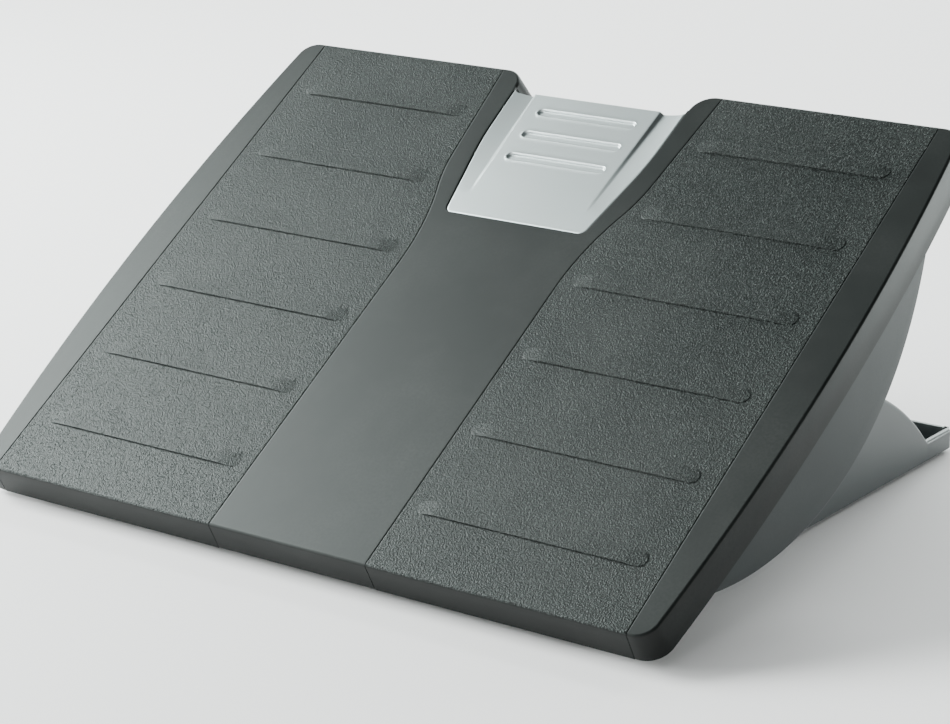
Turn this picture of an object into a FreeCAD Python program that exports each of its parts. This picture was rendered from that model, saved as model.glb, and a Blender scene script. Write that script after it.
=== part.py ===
import FreeCAD, Part
import math
import os
from types import SimpleNamespace

from FreeCAD import Placement, Rotation, Vector

# Tilting under-desk footrest.
# The platform is drawn in its own frame: X to the right, Y up its slope from the
# front top edge, Z out of its top face. The base is drawn standing on the floor.
# The row's frame has Z up, Y to the back, and its origin under the middle of the whole.

doc = FreeCAD.newDocument("footrest")
sheet = doc.addObject("Spreadsheet::Sheet", "Sizes")

SIZES = {
    # platform plan
    "deck_length": 332.0,
    "deck_half_width": 219.5,
    "side_radius": 1485.0,
    "side_middle": 173.0,
    "corner_radius": 10.5,
    "edge_round": 1.2,
    "skirt_depth": 16.5,
    "front_flare": 1.5,
    "side_flare": 2.5,
    "deck_wall": 5.0,
    "skirt_wall": 3.0,
    # rear notch
    "notch_half_width": 55.6,
    "notch_corner": 12.3,
    "notch_straight": 0.2,
    "notch_inner": 3.5,
    "notch_flare": 3.0,
    # ribs under the platform
    "rib_wall": 2.0,
    "rib_depth": 8.0,
    "rib_rail_inset": 59.5,
    "rib_inner": 66.0,
    "cross_rib_first": 34.0,
    "cross_rib_pitch": 58.0,
    # tread panels
    "seam_margin": 21.4,
    "seam_inner": 49.1,
    "seam_bend_lead": 38.8,
    "seam_out_radius": 160.0,
    "seam_out_angle": 20.0,
    "seam_back_radius": 100.0,
    "seam_rear_angle": 5.5,
    "seam_gap": 0.5,
    "tread_thickness": 2.5,
    "tread_lip": 1.5,
    # grip ribs on the treads
    "grip_first": 40.2,
    "grip_pitch": 51.2,
    "grip_width": 9.0,
    "grip_bevel": 2.5,
    "grip_height": 1.2,
    "grip_crest": 1.4,
    "grip_front_slope": 0.5,
    "grip_end_slope": 11.0,
    "grip_inner_margin": 7.4,
    "grip_outer_margin": 11.0,
    # centre insert
    "insert_length": 92.2,
    "insert_front_half": 44.4,
    "insert_corner": 5.0,
    "insert_side_angle": 10.0,
    "insert_straight": 42.2,
    "insert_bend_radius": 180.0,
    "insert_rear_angle": 2.0,
    "insert_gap": 0.3,
    "insert_thickness": 5.0,
    "insert_recess": 0.3,
    "insert_floor": 3.0,
    "plateau_length": 76.0,
    "plateau_rise": 0.2,
    "plateau_front_half": 37.0,
    "plateau_rear_half": 40.6,
    "valley_width": 4.4,
    "valley_depth": 2.0,
    "groove_rear_inset": 12.4,
    "groove_pitch": 17.0,
    "groove_half_length": 31.4,
    "groove_width": 5.0,
    "groove_bevel": 1.5,
    "groove_depth": 1.3,
    "groove_count": 3.0,
    # side cheeks
    "cheek_wall": 3.0,
    "cheek_gap": 0.2,
    "cheek_radius": 188.8,
    "cheek_middle": 159.0,
    "cheek_depth": 60.2,
    "cheek_lug_reach": 80.0,
    "cheek_lug_length": 9.0,
    "cheek_lug_width": 14.0,
    "cheek_lug_wall": 3.0,
    # tilt and height motion
    "rest_tilt": 32.3,
    "back_tilt": 10.0,
    "pivot_along": 165.4,
    "pivot_below": 42.0,
    "pivot_height": 70.3,
    "lift_travel": 30.0,
    "lift_steps": 2.0,
    # height brackets
    "bracket_wall": 6.0,
    "bracket_half_width": 21.0,
    "bracket_end": 6.5,
    "bracket_foot": 22.0,
    "bracket_screw_inset": 5.0,
    "bracket_foot_wall": 4.0,
    "bracket_gusset": 14.0,
    "bracket_corner": 9.0,
    "bracket_screw_edge": 6.4,
    "detent_depth": 2.0,
    "detent_half_width": 2.0,
    # pivot blocks and pins
    "block_width": 16.0,
    "block_slide_gap": 0.2,
    "block_flange": 3.0,
    "block_flange_wall": 1.6,
    "block_side_gap": 0.3,
    "pin_radius": 4.0,
    "pin_running_gap": 0.05,
    "pin_head_radius": 7.5,
    "pin_head": 4.0,
    "pin_tail": 1.2,
    "nut_wall": 2.0,
    "nut_radius": 7.5,
    "tab_width": 6.0,
    "tab_reach": 15.5,
    "tab_wall": 2.6,
    "stop_circle": 13.0,
    "stop_radius": 2.5,
    "stop_gap": 0.3,
    # base side frames
    "frame_inset": 44.5,
    "frame_wall": 4.0,
    "frame_front": 22.0,
    "frame_rear": 351.0,
    "frame_clearance": 2.0,
    "flange_wall": 3.0,
    "flange_width": 25.0,
    "rim_height": 12.9,
    "rim_bevel": 1.3,
    "frame_corner": 2.4,
    "arch_foot_front": 44.0,
    "arch_foot_rear": 323.0,
    "arch_top": 150.0,
    "arch_height": 79.9,
    "arch_knee": 276.9,
    "arch_knee_height": 48.6,
    "arch_notch_round": 2.5,
    "boss_radius": 9.0,
    "boss_length": 8.0,
    # base rails
    "rail_width": 28.0,
    "rail_wall": 3.0,
    "rail_lap": 1.5,
    "rail_gap": 0.3,
    # rubber feet
    "foot_width": 16.0,
    "foot_length": 30.0,
    "foot_height": 3.5,
    "foot_bevel": 1.0,
    "foot_seat": 1.5,
    "foot_inset": 13.5,
    "foot_front_inset": 44.0,
    "foot_rear_inset": 45.0,
    # screws
    "screw_radius": 1.5,
    "screw_head_radius": 3.2,
    "screw_head": 2.0,
    "screw_hole_gap": 0.2,
    "screw_bite": 2.6,
    "rail_screw_inset": 14.0,
    "rail_screw_bite": 1.2,
}

for row, (alias, value) in enumerate(SIZES.items(), 1):
    sheet.set("A%d" % row, alias)
    sheet.set("B%d" % row, str(value))
    sheet.setAlias("B%d" % row, alias)
doc.recompute()
size = SimpleNamespace(**{alias: float(sheet.get(alias)) for alias in SIZES})

# places along the platform, measured from its rear end
notch_floor = size.deck_length - size.notch_corner - size.notch_straight - size.notch_inner
insert_front = notch_floor - size.insert_length
plateau_start = notch_floor - size.plateau_length
seam_bend_start = insert_front - size.seam_bend_lead

# places across the platform, measured in from its widest line
seam_outer = size.deck_half_width - size.seam_margin
rib_rail = size.deck_half_width - size.rib_rail_inset
frame_half_width = size.deck_half_width - size.frame_inset


def cell(expression):
    """Names in an expression, each written as a word, become cells of the sheet."""
    words = expression.replace("(", " ( ").replace(")", " ) ").split()
    return " ".join("Sizes." + word if word in SIZES else word for word in words)


def bind(feature, **lengths):
    """Binds each named property of a feature to an expression of the sheet's sizes."""
    for name, expression in lengths.items():
        feature.setExpression(name, cell(expression))


def new_body(label):
    made = doc.addObject("PartDesign::Body", label)
    made.Label = label
    return made


def add_sketch(body, name, role, edges, offset=0.0):
    """Draws closed loops of edges on one of the body's origin planes."""
    plane = next(item for item in body.Origin.OriginFeatures if item.Role == role)
    drawn = body.newObject("Sketcher::SketchObject", name)
    drawn.AttachmentSupport = (plane, [""])
    drawn.MapMode = "FlatFace"
    drawn.AttachmentOffset = Placement(Vector(0, 0, offset), Rotation())
    drawn.addGeometry(edges, False)
    return drawn


def add_feature(body, kind, name, profile, **lengths):
    made = body.newObject("PartDesign::" + kind, name)
    made.Profile = profile
    bind(made, **lengths)
    return made


def line(start, end):
    return Part.LineSegment(Vector(*start, 0), Vector(*end, 0))


def arc(start, middle, end):
    return Part.Arc(Vector(*start, 0), Vector(*middle, 0), Vector(*end, 0))


def polygon(points):
    return [line(a, b) for a, b in zip(points, points[1:] + points[:1])]


def rectangle(x_low, y_low, x_high, y_high):
    return polygon([(x_low, y_low), (x_high, y_low), (x_high, y_high), (x_low, y_high)])


def bevelled_rectangle(x_low, y_low, x_high, y_high, bevel):
    """A rectangle with its four corners cut off at 45 degrees."""
    return polygon([
        (x_low + bevel, y_low), (x_high - bevel, y_low), (x_high, y_low + bevel), (x_high, y_high - bevel),
        (x_high - bevel, y_high), (x_low + bevel, y_high), (x_low, y_high - bevel), (x_low, y_low + bevel),
    ])


def hexagon(x, y, radius):
    return polygon([polar((x, y), radius, 60 * number) for number in range(6)])


def circle(x, y, radius):
    return Part.Circle(Vector(x, y, 0), Vector(0, 0, 1), radius)


def polar(centre, radius, degrees):
    angle = math.radians(degrees)
    return (centre[0] + radius * math.cos(angle), centre[1] + radius * math.sin(angle))


def arc_about(centre, radius, start, end):
    """An arc by its centre, radius and two directions in degrees."""
    middle = (start + end) / 2
    return arc(polar(centre, radius, start), polar(centre, radius, middle), polar(centre, radius, end))


def corner_facets(centre, radius, start, end):
    """A small corner round drawn as three short lines, by its centre, radius and two directions."""
    points = [polar(centre, radius, start + (end - start) * share) for share in (0, 1 / 3, 2 / 3, 1)]
    return [line(a, b) for a, b in zip(points, points[1:])]


def mirrored_edges(edges):
    """The same open chain on the other side of X = 0, in the order that goes on from its end."""
    back = []
    for edge in reversed(edges):
        shape = edge.toShape()
        first, last = shape.FirstParameter, shape.LastParameter
        points = [shape.valueAt(first + (last - first) * share) for share in (1.0, 0.5, 0.0)]
        flat = [(-point.x, point.y) for point in points]
        back.append(line(flat[0], flat[2]) if isinstance(edge, Part.LineSegment) else arc(*flat))
    return back


# platform outline

def side_corner(y, radius, side_radius):
    """Centre of a corner round, at height y, that is tangent to the bowed side."""
    reach = math.sqrt((side_radius - radius) ** 2 - (y - size.side_middle) ** 2)
    return (size.deck_half_width - size.side_radius + reach, y)


def deck_outline(depth, inset):
    """Plan of the platform at a depth under its top, drawn in by an inset."""
    fall = depth / size.skirt_depth
    end_growth = size.front_flare * fall - inset
    side_growth = size.side_flare * fall - inset
    notch_growth = size.notch_flare * fall - inset
    front = -end_growth
    rear = size.deck_length + end_growth
    round_radius = size.corner_radius + side_growth
    bow_radius = size.side_radius + side_growth
    bow_centre = (size.deck_half_width - size.side_radius, size.side_middle)
    low = side_corner(front + round_radius, round_radius, bow_radius)
    high = side_corner(rear - round_radius, round_radius, bow_radius)
    low_angle = math.degrees(math.atan2(low[1] - bow_centre[1], low[0] - bow_centre[0]))
    high_angle = math.degrees(math.atan2(high[1] - bow_centre[1], high[0] - bow_centre[0]))
    wall = size.notch_half_width - notch_growth
    mouth_radius = size.notch_corner + notch_growth
    mouth = (wall + mouth_radius, rear - mouth_radius)
    floor = notch_floor - inset
    inner_radius = size.notch_inner - notch_growth
    inner = (wall - inner_radius, floor + inner_radius)
    half = [
        line((0, front), (low[0], front)),
        arc_about(low, round_radius, -90, low_angle),
        arc_about(bow_centre, bow_radius, low_angle, high_angle),
        arc_about(high, round_radius, high_angle, 90),
        line((high[0], rear), (mouth[0], rear)),
        arc_about(mouth, mouth_radius, 90, 180),
        line((wall, mouth[1]), (wall, inner[1])),
        *corner_facets(inner, inner_radius, 0, -90),
        line((inner[0], floor), (0, floor)),
    ]
    return half + mirrored_edges(half)


def deck_loft(body, kind, name, sections):
    """A ruled loft through plans of the platform, each given as its depth and inset."""
    drawn = [
        add_sketch(body, "%s_%d" % (name, number), "XY_Plane", deck_outline(depth, inset), -depth)
        for number, (depth, inset) in enumerate(sections)
    ]
    made = add_feature(body, kind, name, drawn[0])
    made.Sections = drawn[1:]
    made.Ruled = True
    return made


def round_section(inset_from, degrees, radius):
    """Depth and inset of a point on an edge round."""
    angle = math.radians(degrees)
    return (inset_from + radius * (1 - math.cos(angle)), radius * (1 - math.sin(angle)))


outer_sections = [round_section(0, degrees, size.edge_round) for degrees in (0, 45, 90)]
outer_sections.append((size.skirt_depth, 0))


def tread_zone(gap):
    """Plan of the right tread's zone, drawn in by a gap, past the platform's ends."""
    past = size.corner_radius
    inner = size.seam_inner + gap
    start = seam_bend_start
    out_radius = size.seam_out_radius - gap
    back_radius = size.seam_back_radius + gap
    out_centre = (size.seam_inner + size.seam_out_radius, start)
    turn = polar(out_centre, out_radius, 180 - size.seam_out_angle)
    back_centre = polar(turn, -back_radius, -size.seam_out_angle)
    leave = polar(back_centre, back_radius, -size.seam_rear_angle)
    top = size.deck_length + past
    end = (leave[0] + (top - leave[1]) * math.tan(math.radians(size.seam_rear_angle)), top)
    outer = seam_outer - gap
    return [
        line((inner, -past), (outer, -past)),
        line((outer, -past), (outer, top)),
        line((outer, top), end),
        line(end, leave),
        arc_about(back_centre, back_radius, -size.seam_rear_angle, -size.seam_out_angle),
        arc_about(out_centre, out_radius, 180 - size.seam_out_angle, 180),
        line((inner, start), (inner, -past)),
    ]


def insert_outline(growth, rear):
    """Plan of the centre insert, grown by a distance, with a straight rear edge."""
    tilt = size.insert_side_angle
    slope = math.tan(math.radians(tilt))
    bend = (size.insert_front_half + size.insert_straight * slope, insert_front + size.insert_straight)
    centre = polar(bend, -size.insert_bend_radius, -tilt)
    radius = size.insert_bend_radius + growth
    start = polar(centre, radius, -tilt)
    leave = polar(centre, radius, -size.insert_rear_angle)
    end = (leave[0] + (rear - leave[1]) * math.tan(math.radians(size.insert_rear_angle)), rear)
    front = insert_front - growth
    corner = (start[0] - (start[1] - front) * slope, front)
    corner_radius = size.insert_corner + growth
    reach = corner_radius / math.tan(math.radians((90 + tilt) / 2))
    centre_low = (corner[0] - reach, front + corner_radius)
    half = [
        line((0, front), (centre_low[0], front)),
        arc_about(centre_low, corner_radius, -90, -tilt),
        line(polar(centre_low, corner_radius, -tilt), start),
        arc_about(centre, radius, -tilt, -size.insert_rear_angle),
        line(leave, end),
        line(end, (0, rear)),
    ]
    return half + mirrored_edges(half)


# where the platform's frame lies: it turns about the pivot

tilt = math.radians(size.rest_tilt)
pivot_y = size.pivot_along * math.cos(tilt) + size.pivot_below * math.sin(tilt)
deck_z = size.pivot_height - size.pivot_along * math.sin(tilt) + size.pivot_below * math.cos(tilt)
front_reach = size.edge_round * (math.cos(tilt) + math.sin(tilt) - 1)
middle_y = (front_reach + size.frame_rear) / 2
deck_place = Placement(Vector(0, -middle_y, deck_z), Rotation(Vector(1, 0, 0), size.rest_tilt))
base_place = Placement(Vector(0, -middle_y, 0), Rotation())

nodes = []


def keep(made, label, place):
    """Names a finished sub-part and puts it where it belongs."""
    made.Label = label
    made.Placement = place
    nodes.append(made)
    return made


def mirror(source, label):
    """The same piece on the left, mirrored in the middle plane where its source lies."""
    made = doc.addObject("Part::Mirroring", label)
    made.Source = source
    made.Normal = Vector(1, 0, 0)
    return made


def keep_pair(made, name, place):
    """Names and places a right-hand piece, and adds its left-hand one."""
    keep(made, name + "_right", place)
    left = mirror(made, name + "_left")
    left.Label = name + "_left"
    nodes.append(left)
    return made


def join(kind, name, base, tool):
    made = doc.addObject("Part::" + kind, name)
    made.Base = base
    made.Tool = tool
    return made


# forms shared by the platform shell and its treads

block = new_body("platform_block")
deck_loft(block, "AdditiveLoft", "block_form", outer_sections)

core = new_body("tread_core")
core_top = size.tread_thickness
deck_loft(core, "AdditiveLoft", "core_form", [(core_top, size.tread_lip), (2 * size.skirt_depth, size.tread_lip)])

rind = join("Cut", "tread_rind", block, core)


def zone_form(name, gap):
    made = new_body(name)
    drawn = add_sketch(made, name + "_plan", "XY_Plane", tread_zone(gap), size.edge_round)
    add_feature(made, "Pad", name + "_pad", drawn, Length="skirt_depth * 2").Reversed = True
    return made


zone_full = zone_form("tread_seat_zone", 0)
zone_tread = zone_form("tread_zone", size.seam_gap)
seat_right = join("Common", "tread_seat_right", rind, zone_full)
seat_left = mirror(seat_right, "tread_seat_left")
tread_blank = join("Common", "tread_blank", rind, zone_tread)

# where the pivot and the pieces round it lie, outwards from the base's side

pivot = (size.pivot_along, -size.pivot_below)
tab_start = frame_half_width + size.block_side_gap
block_start = tab_start + size.tab_wall
plate_start = block_start + size.block_flange_wall + size.block_side_gap
block_end = plate_start + size.bracket_wall + size.block_side_gap

# screw places, as (x, y) in the platform's plan

cheek_screws_x = seam_outer + size.cheek_lug_length / 2
cheek_screws_y = [size.pivot_along - size.cheek_lug_reach, size.pivot_along + size.cheek_lug_reach]
bracket_screws_x = plate_start + size.bracket_wall + size.bracket_foot - size.bracket_screw_inset
bracket_screws_y = [
    size.pivot_along - size.bracket_half_width + size.bracket_screw_edge,
    size.pivot_along + size.bracket_half_width - size.bracket_screw_edge,
]
cheek_screw_places = [(cheek_screws_x, y) for y in cheek_screws_y]
bracket_screw_places = [(bracket_screws_x, y) for y in bracket_screws_y]
deck_screw_places = cheek_screw_places + bracket_screw_places


# platform shell

def build_shell():
    shell = new_body("platform_hollow")
    deck_loft(shell, "AdditiveLoft", "shell_form", outer_sections)
    inner = [(size.deck_wall, size.skirt_wall), (size.skirt_depth + size.edge_round, size.skirt_wall)]
    deck_loft(shell, "SubtractiveLoft", "shell_hollow", inner)
    # a floor under the insert, tied to the notch's wall
    grown = size.insert_floor
    floor = add_sketch(shell, "insert_floor_plan", "XY_Plane",
                       insert_outline(grown, notch_floor - size.edge_round), -size.tread_thickness)
    depth = "insert_thickness + insert_floor - tread_thickness"
    add_feature(shell, "Pad", "insert_floor_pad", floor, Length=depth).Reversed = True
    seat = add_sketch(shell, "insert_seat_plan", "XY_Plane",
                      insert_outline(0, notch_floor + size.notch_inner), 0)
    add_feature(shell, "Pocket", "insert_seat", seat, Length="insert_thickness")
    # ribs underneath: two pairs along the platform, then a row across
    half = size.rib_wall / 2
    ends = (size.skirt_wall, size.deck_length - size.skirt_wall)
    rails = []
    for x in (-rib_rail, -size.rib_inner, size.rib_inner, rib_rail):
        rails += rectangle(x - half, ends[0], x + half, ends[1])
    along = add_sketch(shell, "rails_plan", "XY_Plane", rails, -size.deck_wall + size.rib_wall / 2)
    add_feature(shell, "Pad", "rails", along, Length="rib_depth + rib_wall / 2").Reversed = True
    y = size.cross_rib_first
    count = int((insert_front - size.insert_floor - y) // size.cross_rib_pitch) + 1
    across = add_sketch(shell, "cross_rib_plan", "XY_Plane",
                        rectangle(-rib_rail - half, y - half, rib_rail + half, y + half),
                        -size.deck_wall + size.rib_wall / 2)
    first = add_feature(shell, "Pad", "cross_rib", across, Length="rib_depth + rib_wall / 2")
    first.Reversed = True
    doc.recompute()
    row = shell.newObject("PartDesign::LinearPattern", "cross_ribs")
    row.Originals = [first]
    row.Direction = (across, ["V_Axis"])
    row.Occurrences = count
    row.Length = size.cross_rib_pitch * (count - 1)
    shell.Tip = row
    # pilot holes for the screws that hold the cheeks and the brackets
    holes = [circle(side * x, y, size.screw_radius) for side in (-1, 1) for x, y in deck_screw_places]
    pilots = add_sketch(shell, "pilot_plan", "XY_Plane", holes, -size.deck_wall)
    add_feature(shell, "Pocket", "pilots", pilots, Length="screw_bite").Reversed = True
    doc.recompute()
    seats = doc.addObject("Part::MultiFuse", "tread_seats")
    seats.Shapes = [seat_left, seat_right]
    return keep(join("Cut", "platform_shell", shell, seats), "platform_shell", deck_place)


# tread panels with their grip ribs

def seam_at(y):
    """How far out the inner seam lies at a distance up the platform."""
    start = seam_bend_start
    out_angle = math.radians(size.seam_out_angle)
    rear_angle = math.radians(size.seam_rear_angle)
    turn = start + size.seam_out_radius * math.sin(out_angle)
    leave = turn + size.seam_back_radius * (math.sin(out_angle) - math.sin(rear_angle))
    if y <= start:
        return size.seam_inner
    if y <= turn:
        return size.seam_inner + size.seam_out_radius - math.sqrt(size.seam_out_radius ** 2 - (y - start) ** 2)
    turn_x = size.seam_inner + size.seam_out_radius * (1 - math.cos(out_angle))
    if y <= leave:
        part = math.asin(math.sin(out_angle) - (y - turn) / size.seam_back_radius)
        return turn_x + size.seam_back_radius * (math.cos(part) - math.cos(out_angle))
    leave_x = turn_x + size.seam_back_radius * (math.cos(rear_angle) - math.cos(out_angle))
    return leave_x + (y - leave) * math.tan(rear_angle)


def grip_form(number):
    """A low wedge with a sharp front, falling to nothing at its back and ends."""
    y = size.grip_first + number * size.grip_pitch
    half = size.grip_width / 2
    inner = seam_at(y + half) + size.grip_inner_margin
    outer = seam_outer - size.grip_outer_margin
    plan = bevelled_rectangle(inner, y - half, outer, y + half, size.grip_bevel)
    made = new_body("grip_form_%d" % number)
    low = add_sketch(made, "grip_low_%d" % number, "XY_Plane", plan, -size.tread_thickness / 2)
    foot = add_sketch(made, "grip_foot_%d" % number, "XY_Plane", plan, 0)
    front = y - half + size.grip_front_slope
    slope = size.grip_end_slope
    crest = add_sketch(made, "grip_crest_%d" % number, "XY_Plane",
                       bevelled_rectangle(inner + slope, front, outer - slope, front + size.grip_crest,
                                          size.grip_front_slope), size.grip_height)
    form = add_feature(made, "AdditiveLoft", "grip_%d" % number, low)
    form.Sections = [foot, crest]
    form.Ruled = True
    return made


def build_treads():
    space = size.deck_length - size.grip_first - size.grip_width
    count = int(space // size.grip_pitch) + 1
    joined = doc.addObject("Part::MultiFuse", "tread_panel_right")
    joined.Shapes = [tread_blank] + [grip_form(number) for number in range(count)]
    return keep_pair(joined, "tread_panel", deck_place)


# centre insert

def plateau_profile(share):
    """Cross-section of the insert's top, from flat in front to the full plateau at the rear."""
    edge = size.insert_front_half + size.insert_straight
    half = size.plateau_front_half + share * (size.plateau_rear_half - size.plateau_front_half)
    top = -size.insert_recess + share * size.plateau_rise
    valley = -size.insert_recess - share * size.valley_depth
    rim = -size.insert_recess
    outline = size.notch_half_width
    return [
        (-edge, -size.insert_thickness), (edge, -size.insert_thickness), (edge, rim), (outline, rim),
        (half + size.valley_width, valley), (half, top), (-half, top),
        (-half - size.valley_width, valley), (-outline, rim), (-edge, rim),
    ]


def build_insert():
    plate = new_body("insert_plate")
    plan = add_sketch(plate, "insert_plan", "XY_Plane",
                      insert_outline(-size.insert_gap, notch_floor + size.notch_inner),
                      -size.insert_thickness)
    add_feature(plate, "Pad", "insert_pad", plan, Length="insert_thickness + plateau_rise + edge_round")
    # the rear edge runs straight and then up into the notch's two rounded corners
    far = notch_floor + size.notch_corner
    wall = size.notch_half_width
    turn = (wall - size.notch_inner, notch_floor + size.notch_inner)
    half = [
        line((0, far), (wall, far)),
        line((wall, far), (wall, turn[1])),
        *corner_facets(turn, size.notch_inner, 0, -90),
        line((turn[0], notch_floor), (0, notch_floor)),
    ]
    void = add_sketch(plate, "insert_rear_plan", "XY_Plane", half + mirrored_edges(half), -size.insert_thickness)
    depth = "insert_thickness + plateau_rise + edge_round"
    add_feature(plate, "Pocket", "insert_rear", void, Length=depth).Reversed = True
    sculpted = new_body("insert_sculpt")
    stations = (
        (insert_front - size.insert_corner, 0.0),
        (plateau_start, 0.0),
        (notch_floor, 1.0),
        (notch_floor + size.notch_inner + size.insert_gap, 1.0),
    )
    drawn = [
        add_sketch(sculpted, "insert_section_%d" % number, "XZ_Plane", polygon(plateau_profile(share)), -y)
        for number, (y, share) in enumerate(stations)
    ]
    form = add_feature(sculpted, "AdditiveLoft", "insert_top", drawn[0])
    form.Sections = drawn[1:]
    form.Ruled = True
    blank = join("Common", "insert_blank", plate, sculpted)
    # three grooves cut square into the rising plateau
    rise = size.plateau_rise / (notch_floor - plateau_start)
    grooves = new_body("insert_grooves")
    for number in range(int(size.groove_count)):
        y = notch_floor - size.groove_rear_inset - number * size.groove_pitch
        top = -size.insert_recess + (y - plateau_start) * rise
        reach = size.groove_half_length
        half_width = size.groove_width / 2
        slot = add_sketch(grooves, "groove_plan_%d" % number, "XY_Plane",
                          bevelled_rectangle(-reach, y - half_width, reach, y + half_width,
                                             size.groove_bevel), top - size.groove_depth)
        add_feature(grooves, "Pad", "groove_%d" % number, slot, Length="groove_depth + plateau_rise")
    return keep(join("Cut", "centre_insert", blank, grooves), "centre_insert", deck_place)


# side cheeks, hanging under the platform's bowed sides

def build_cheek():
    centre = (size.deck_half_width - size.side_radius, size.side_middle)
    # the sheet just clears the inside of the skirt where it meets the platform's underside
    fall = size.deck_wall / size.skirt_depth
    outer = size.side_radius + size.side_flare * fall - size.skirt_wall - size.cheek_gap
    inner = outer - size.cheek_wall
    low = size.cheek_middle - size.cheek_radius
    high = size.cheek_middle + size.cheek_radius
    turn = [math.degrees(math.asin((y - centre[1]) / outer)) for y in (low, high)]
    strip = [
        arc_about(centre, outer, turn[0], turn[1]),
        line(polar(centre, outer, turn[1]), polar(centre, inner, turn[1])),
        arc_about(centre, inner, turn[1], turn[0]),
        line(polar(centre, inner, turn[0]), polar(centre, outer, turn[0])),
    ]
    sheet_form = new_body("cheek_sheet")
    plan = add_sketch(sheet_form, "cheek_plan", "XY_Plane", strip, -size.deck_wall)
    add_feature(sheet_form, "Pad", "cheek_pad", plan, Length="cheek_radius").Reversed = True
    # seen from the side, a flat-topped segment of a circle
    half = math.sqrt(size.cheek_radius ** 2 - (size.cheek_radius - size.cheek_depth + size.deck_wall) ** 2)
    bottom = (size.cheek_middle, -size.cheek_depth)
    ends = [(size.cheek_middle - half, -size.deck_wall), (size.cheek_middle + half, -size.deck_wall)]
    segment = new_body("cheek_segment")
    profile = add_sketch(segment, "cheek_profile", "YZ_Plane",
                         [arc(ends[0], bottom, ends[1]), line(ends[1], ends[0])], frame_half_width)
    add_feature(segment, "Pad", "cheek_segment_pad", profile, Length="frame_inset")
    blank = join("Common", "cheek_blank", sheet_form, segment)
    # two lugs that take the screws
    lugs = new_body("cheek_lugs")
    for number, (x, y) in enumerate(cheek_screw_places):
        reach = math.sqrt(outer ** 2 - (y - centre[1]) ** 2) + centre[0] - size.cheek_wall / 2
        half_width = size.cheek_lug_width / 2
        lug = add_sketch(lugs, "lug_plan_%d" % number, "XY_Plane",
                         rectangle(seam_outer, y - half_width, reach, y + half_width)
                         + [circle(x, y, size.screw_radius + size.screw_hole_gap)], -size.deck_wall)
        add_feature(lugs, "Pad", "lug_%d" % number, lug, Length="cheek_lug_wall").Reversed = True
    return keep_pair(join("Fuse", "side_cheek_right", blank, lugs), "side_cheek", deck_place)


# height brackets: slotted plates under the platform that ride on the pivot blocks

slot_half = size.block_width / 2 + size.block_slide_gap


def build_bracket():
    made = new_body("height_bracket_right")
    bottom = pivot[1] - size.lift_travel - slot_half - size.bracket_end
    half = size.bracket_half_width
    corner = size.bracket_corner
    outline = polygon([
        (pivot[0] - half, -size.deck_wall), (pivot[0] - half, bottom + corner),
        (pivot[0] - half + corner, bottom), (pivot[0] + half - corner, bottom),
        (pivot[0] + half, bottom + corner), (pivot[0] + half, -size.deck_wall),
    ])
    slot = rectangle(pivot[0] - slot_half, pivot[1] - size.lift_travel - slot_half,
                     pivot[0] + slot_half, pivot[1] + slot_half)
    plan = add_sketch(made, "bracket_profile", "YZ_Plane", outline + slot, plate_start)
    add_feature(made, "Pad", "bracket_plate", plan, Length="bracket_wall")
    foot = add_sketch(made, "bracket_foot_plan", "XY_Plane",
                      rectangle(plate_start + size.bracket_wall / 2, pivot[0] - half,
                                plate_start + size.bracket_wall + size.bracket_foot, pivot[0] + half),
                      -size.deck_wall)
    add_feature(made, "Pad", "bracket_foot", foot, Length="bracket_foot_wall").Reversed = True
    # a gusset in the corner, in the middle between the screws
    inside = plate_start + size.bracket_wall / 2
    under = -size.deck_wall - size.bracket_foot_wall / 2
    reach = size.bracket_gusset + size.bracket_wall / 2
    brace = add_sketch(made, "gusset_profile", "XZ_Plane",
                       polygon([(inside, under), (inside, under - reach), (inside + reach, under)]),
                       -pivot[0])
    add_feature(made, "Pad", "gusset", brace, Length="bracket_foot_wall").Midplane = True
    # the screw holes and the detents beside the slot
    clear = size.screw_radius + size.screw_hole_gap
    holes = add_sketch(made, "bracket_hole_plan", "XY_Plane",
                       [circle(x, y, clear) for x, y in bracket_screw_places], -size.deck_wall)
    add_feature(made, "Pocket", "bracket_holes", holes, Length="bracket_foot_wall * 2")
    # each detent is a V on both sides of the slot, drawn as far into the slot as into the plate
    marks = []
    for side in (-1, 1):
        wall = pivot[0] + side * slot_half
        mouth = wall - side * size.detent_depth
        marks += polygon([(mouth, pivot[1] - 2 * size.detent_half_width), (wall + side * size.detent_depth, pivot[1]),
                          (mouth, pivot[1] + 2 * size.detent_half_width)])
    detent = add_sketch(made, "detent_plan", "YZ_Plane", marks, plate_start)
    first = add_feature(made, "Pocket", "detents", detent, Length="bracket_wall")
    first.Reversed = True
    doc.recompute()
    row = made.newObject("PartDesign::LinearPattern", "detent_row")
    row.Originals = [first]
    row.Direction = (detent, ["V_Axis"])
    row.Reversed = True
    row.Occurrences = int(size.lift_steps) + 1
    bind(row, Length="lift_travel")
    made.Tip = row
    return keep_pair(made, "height_bracket", deck_place)


# pivot blocks: they turn on the pins and slide in the brackets

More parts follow.
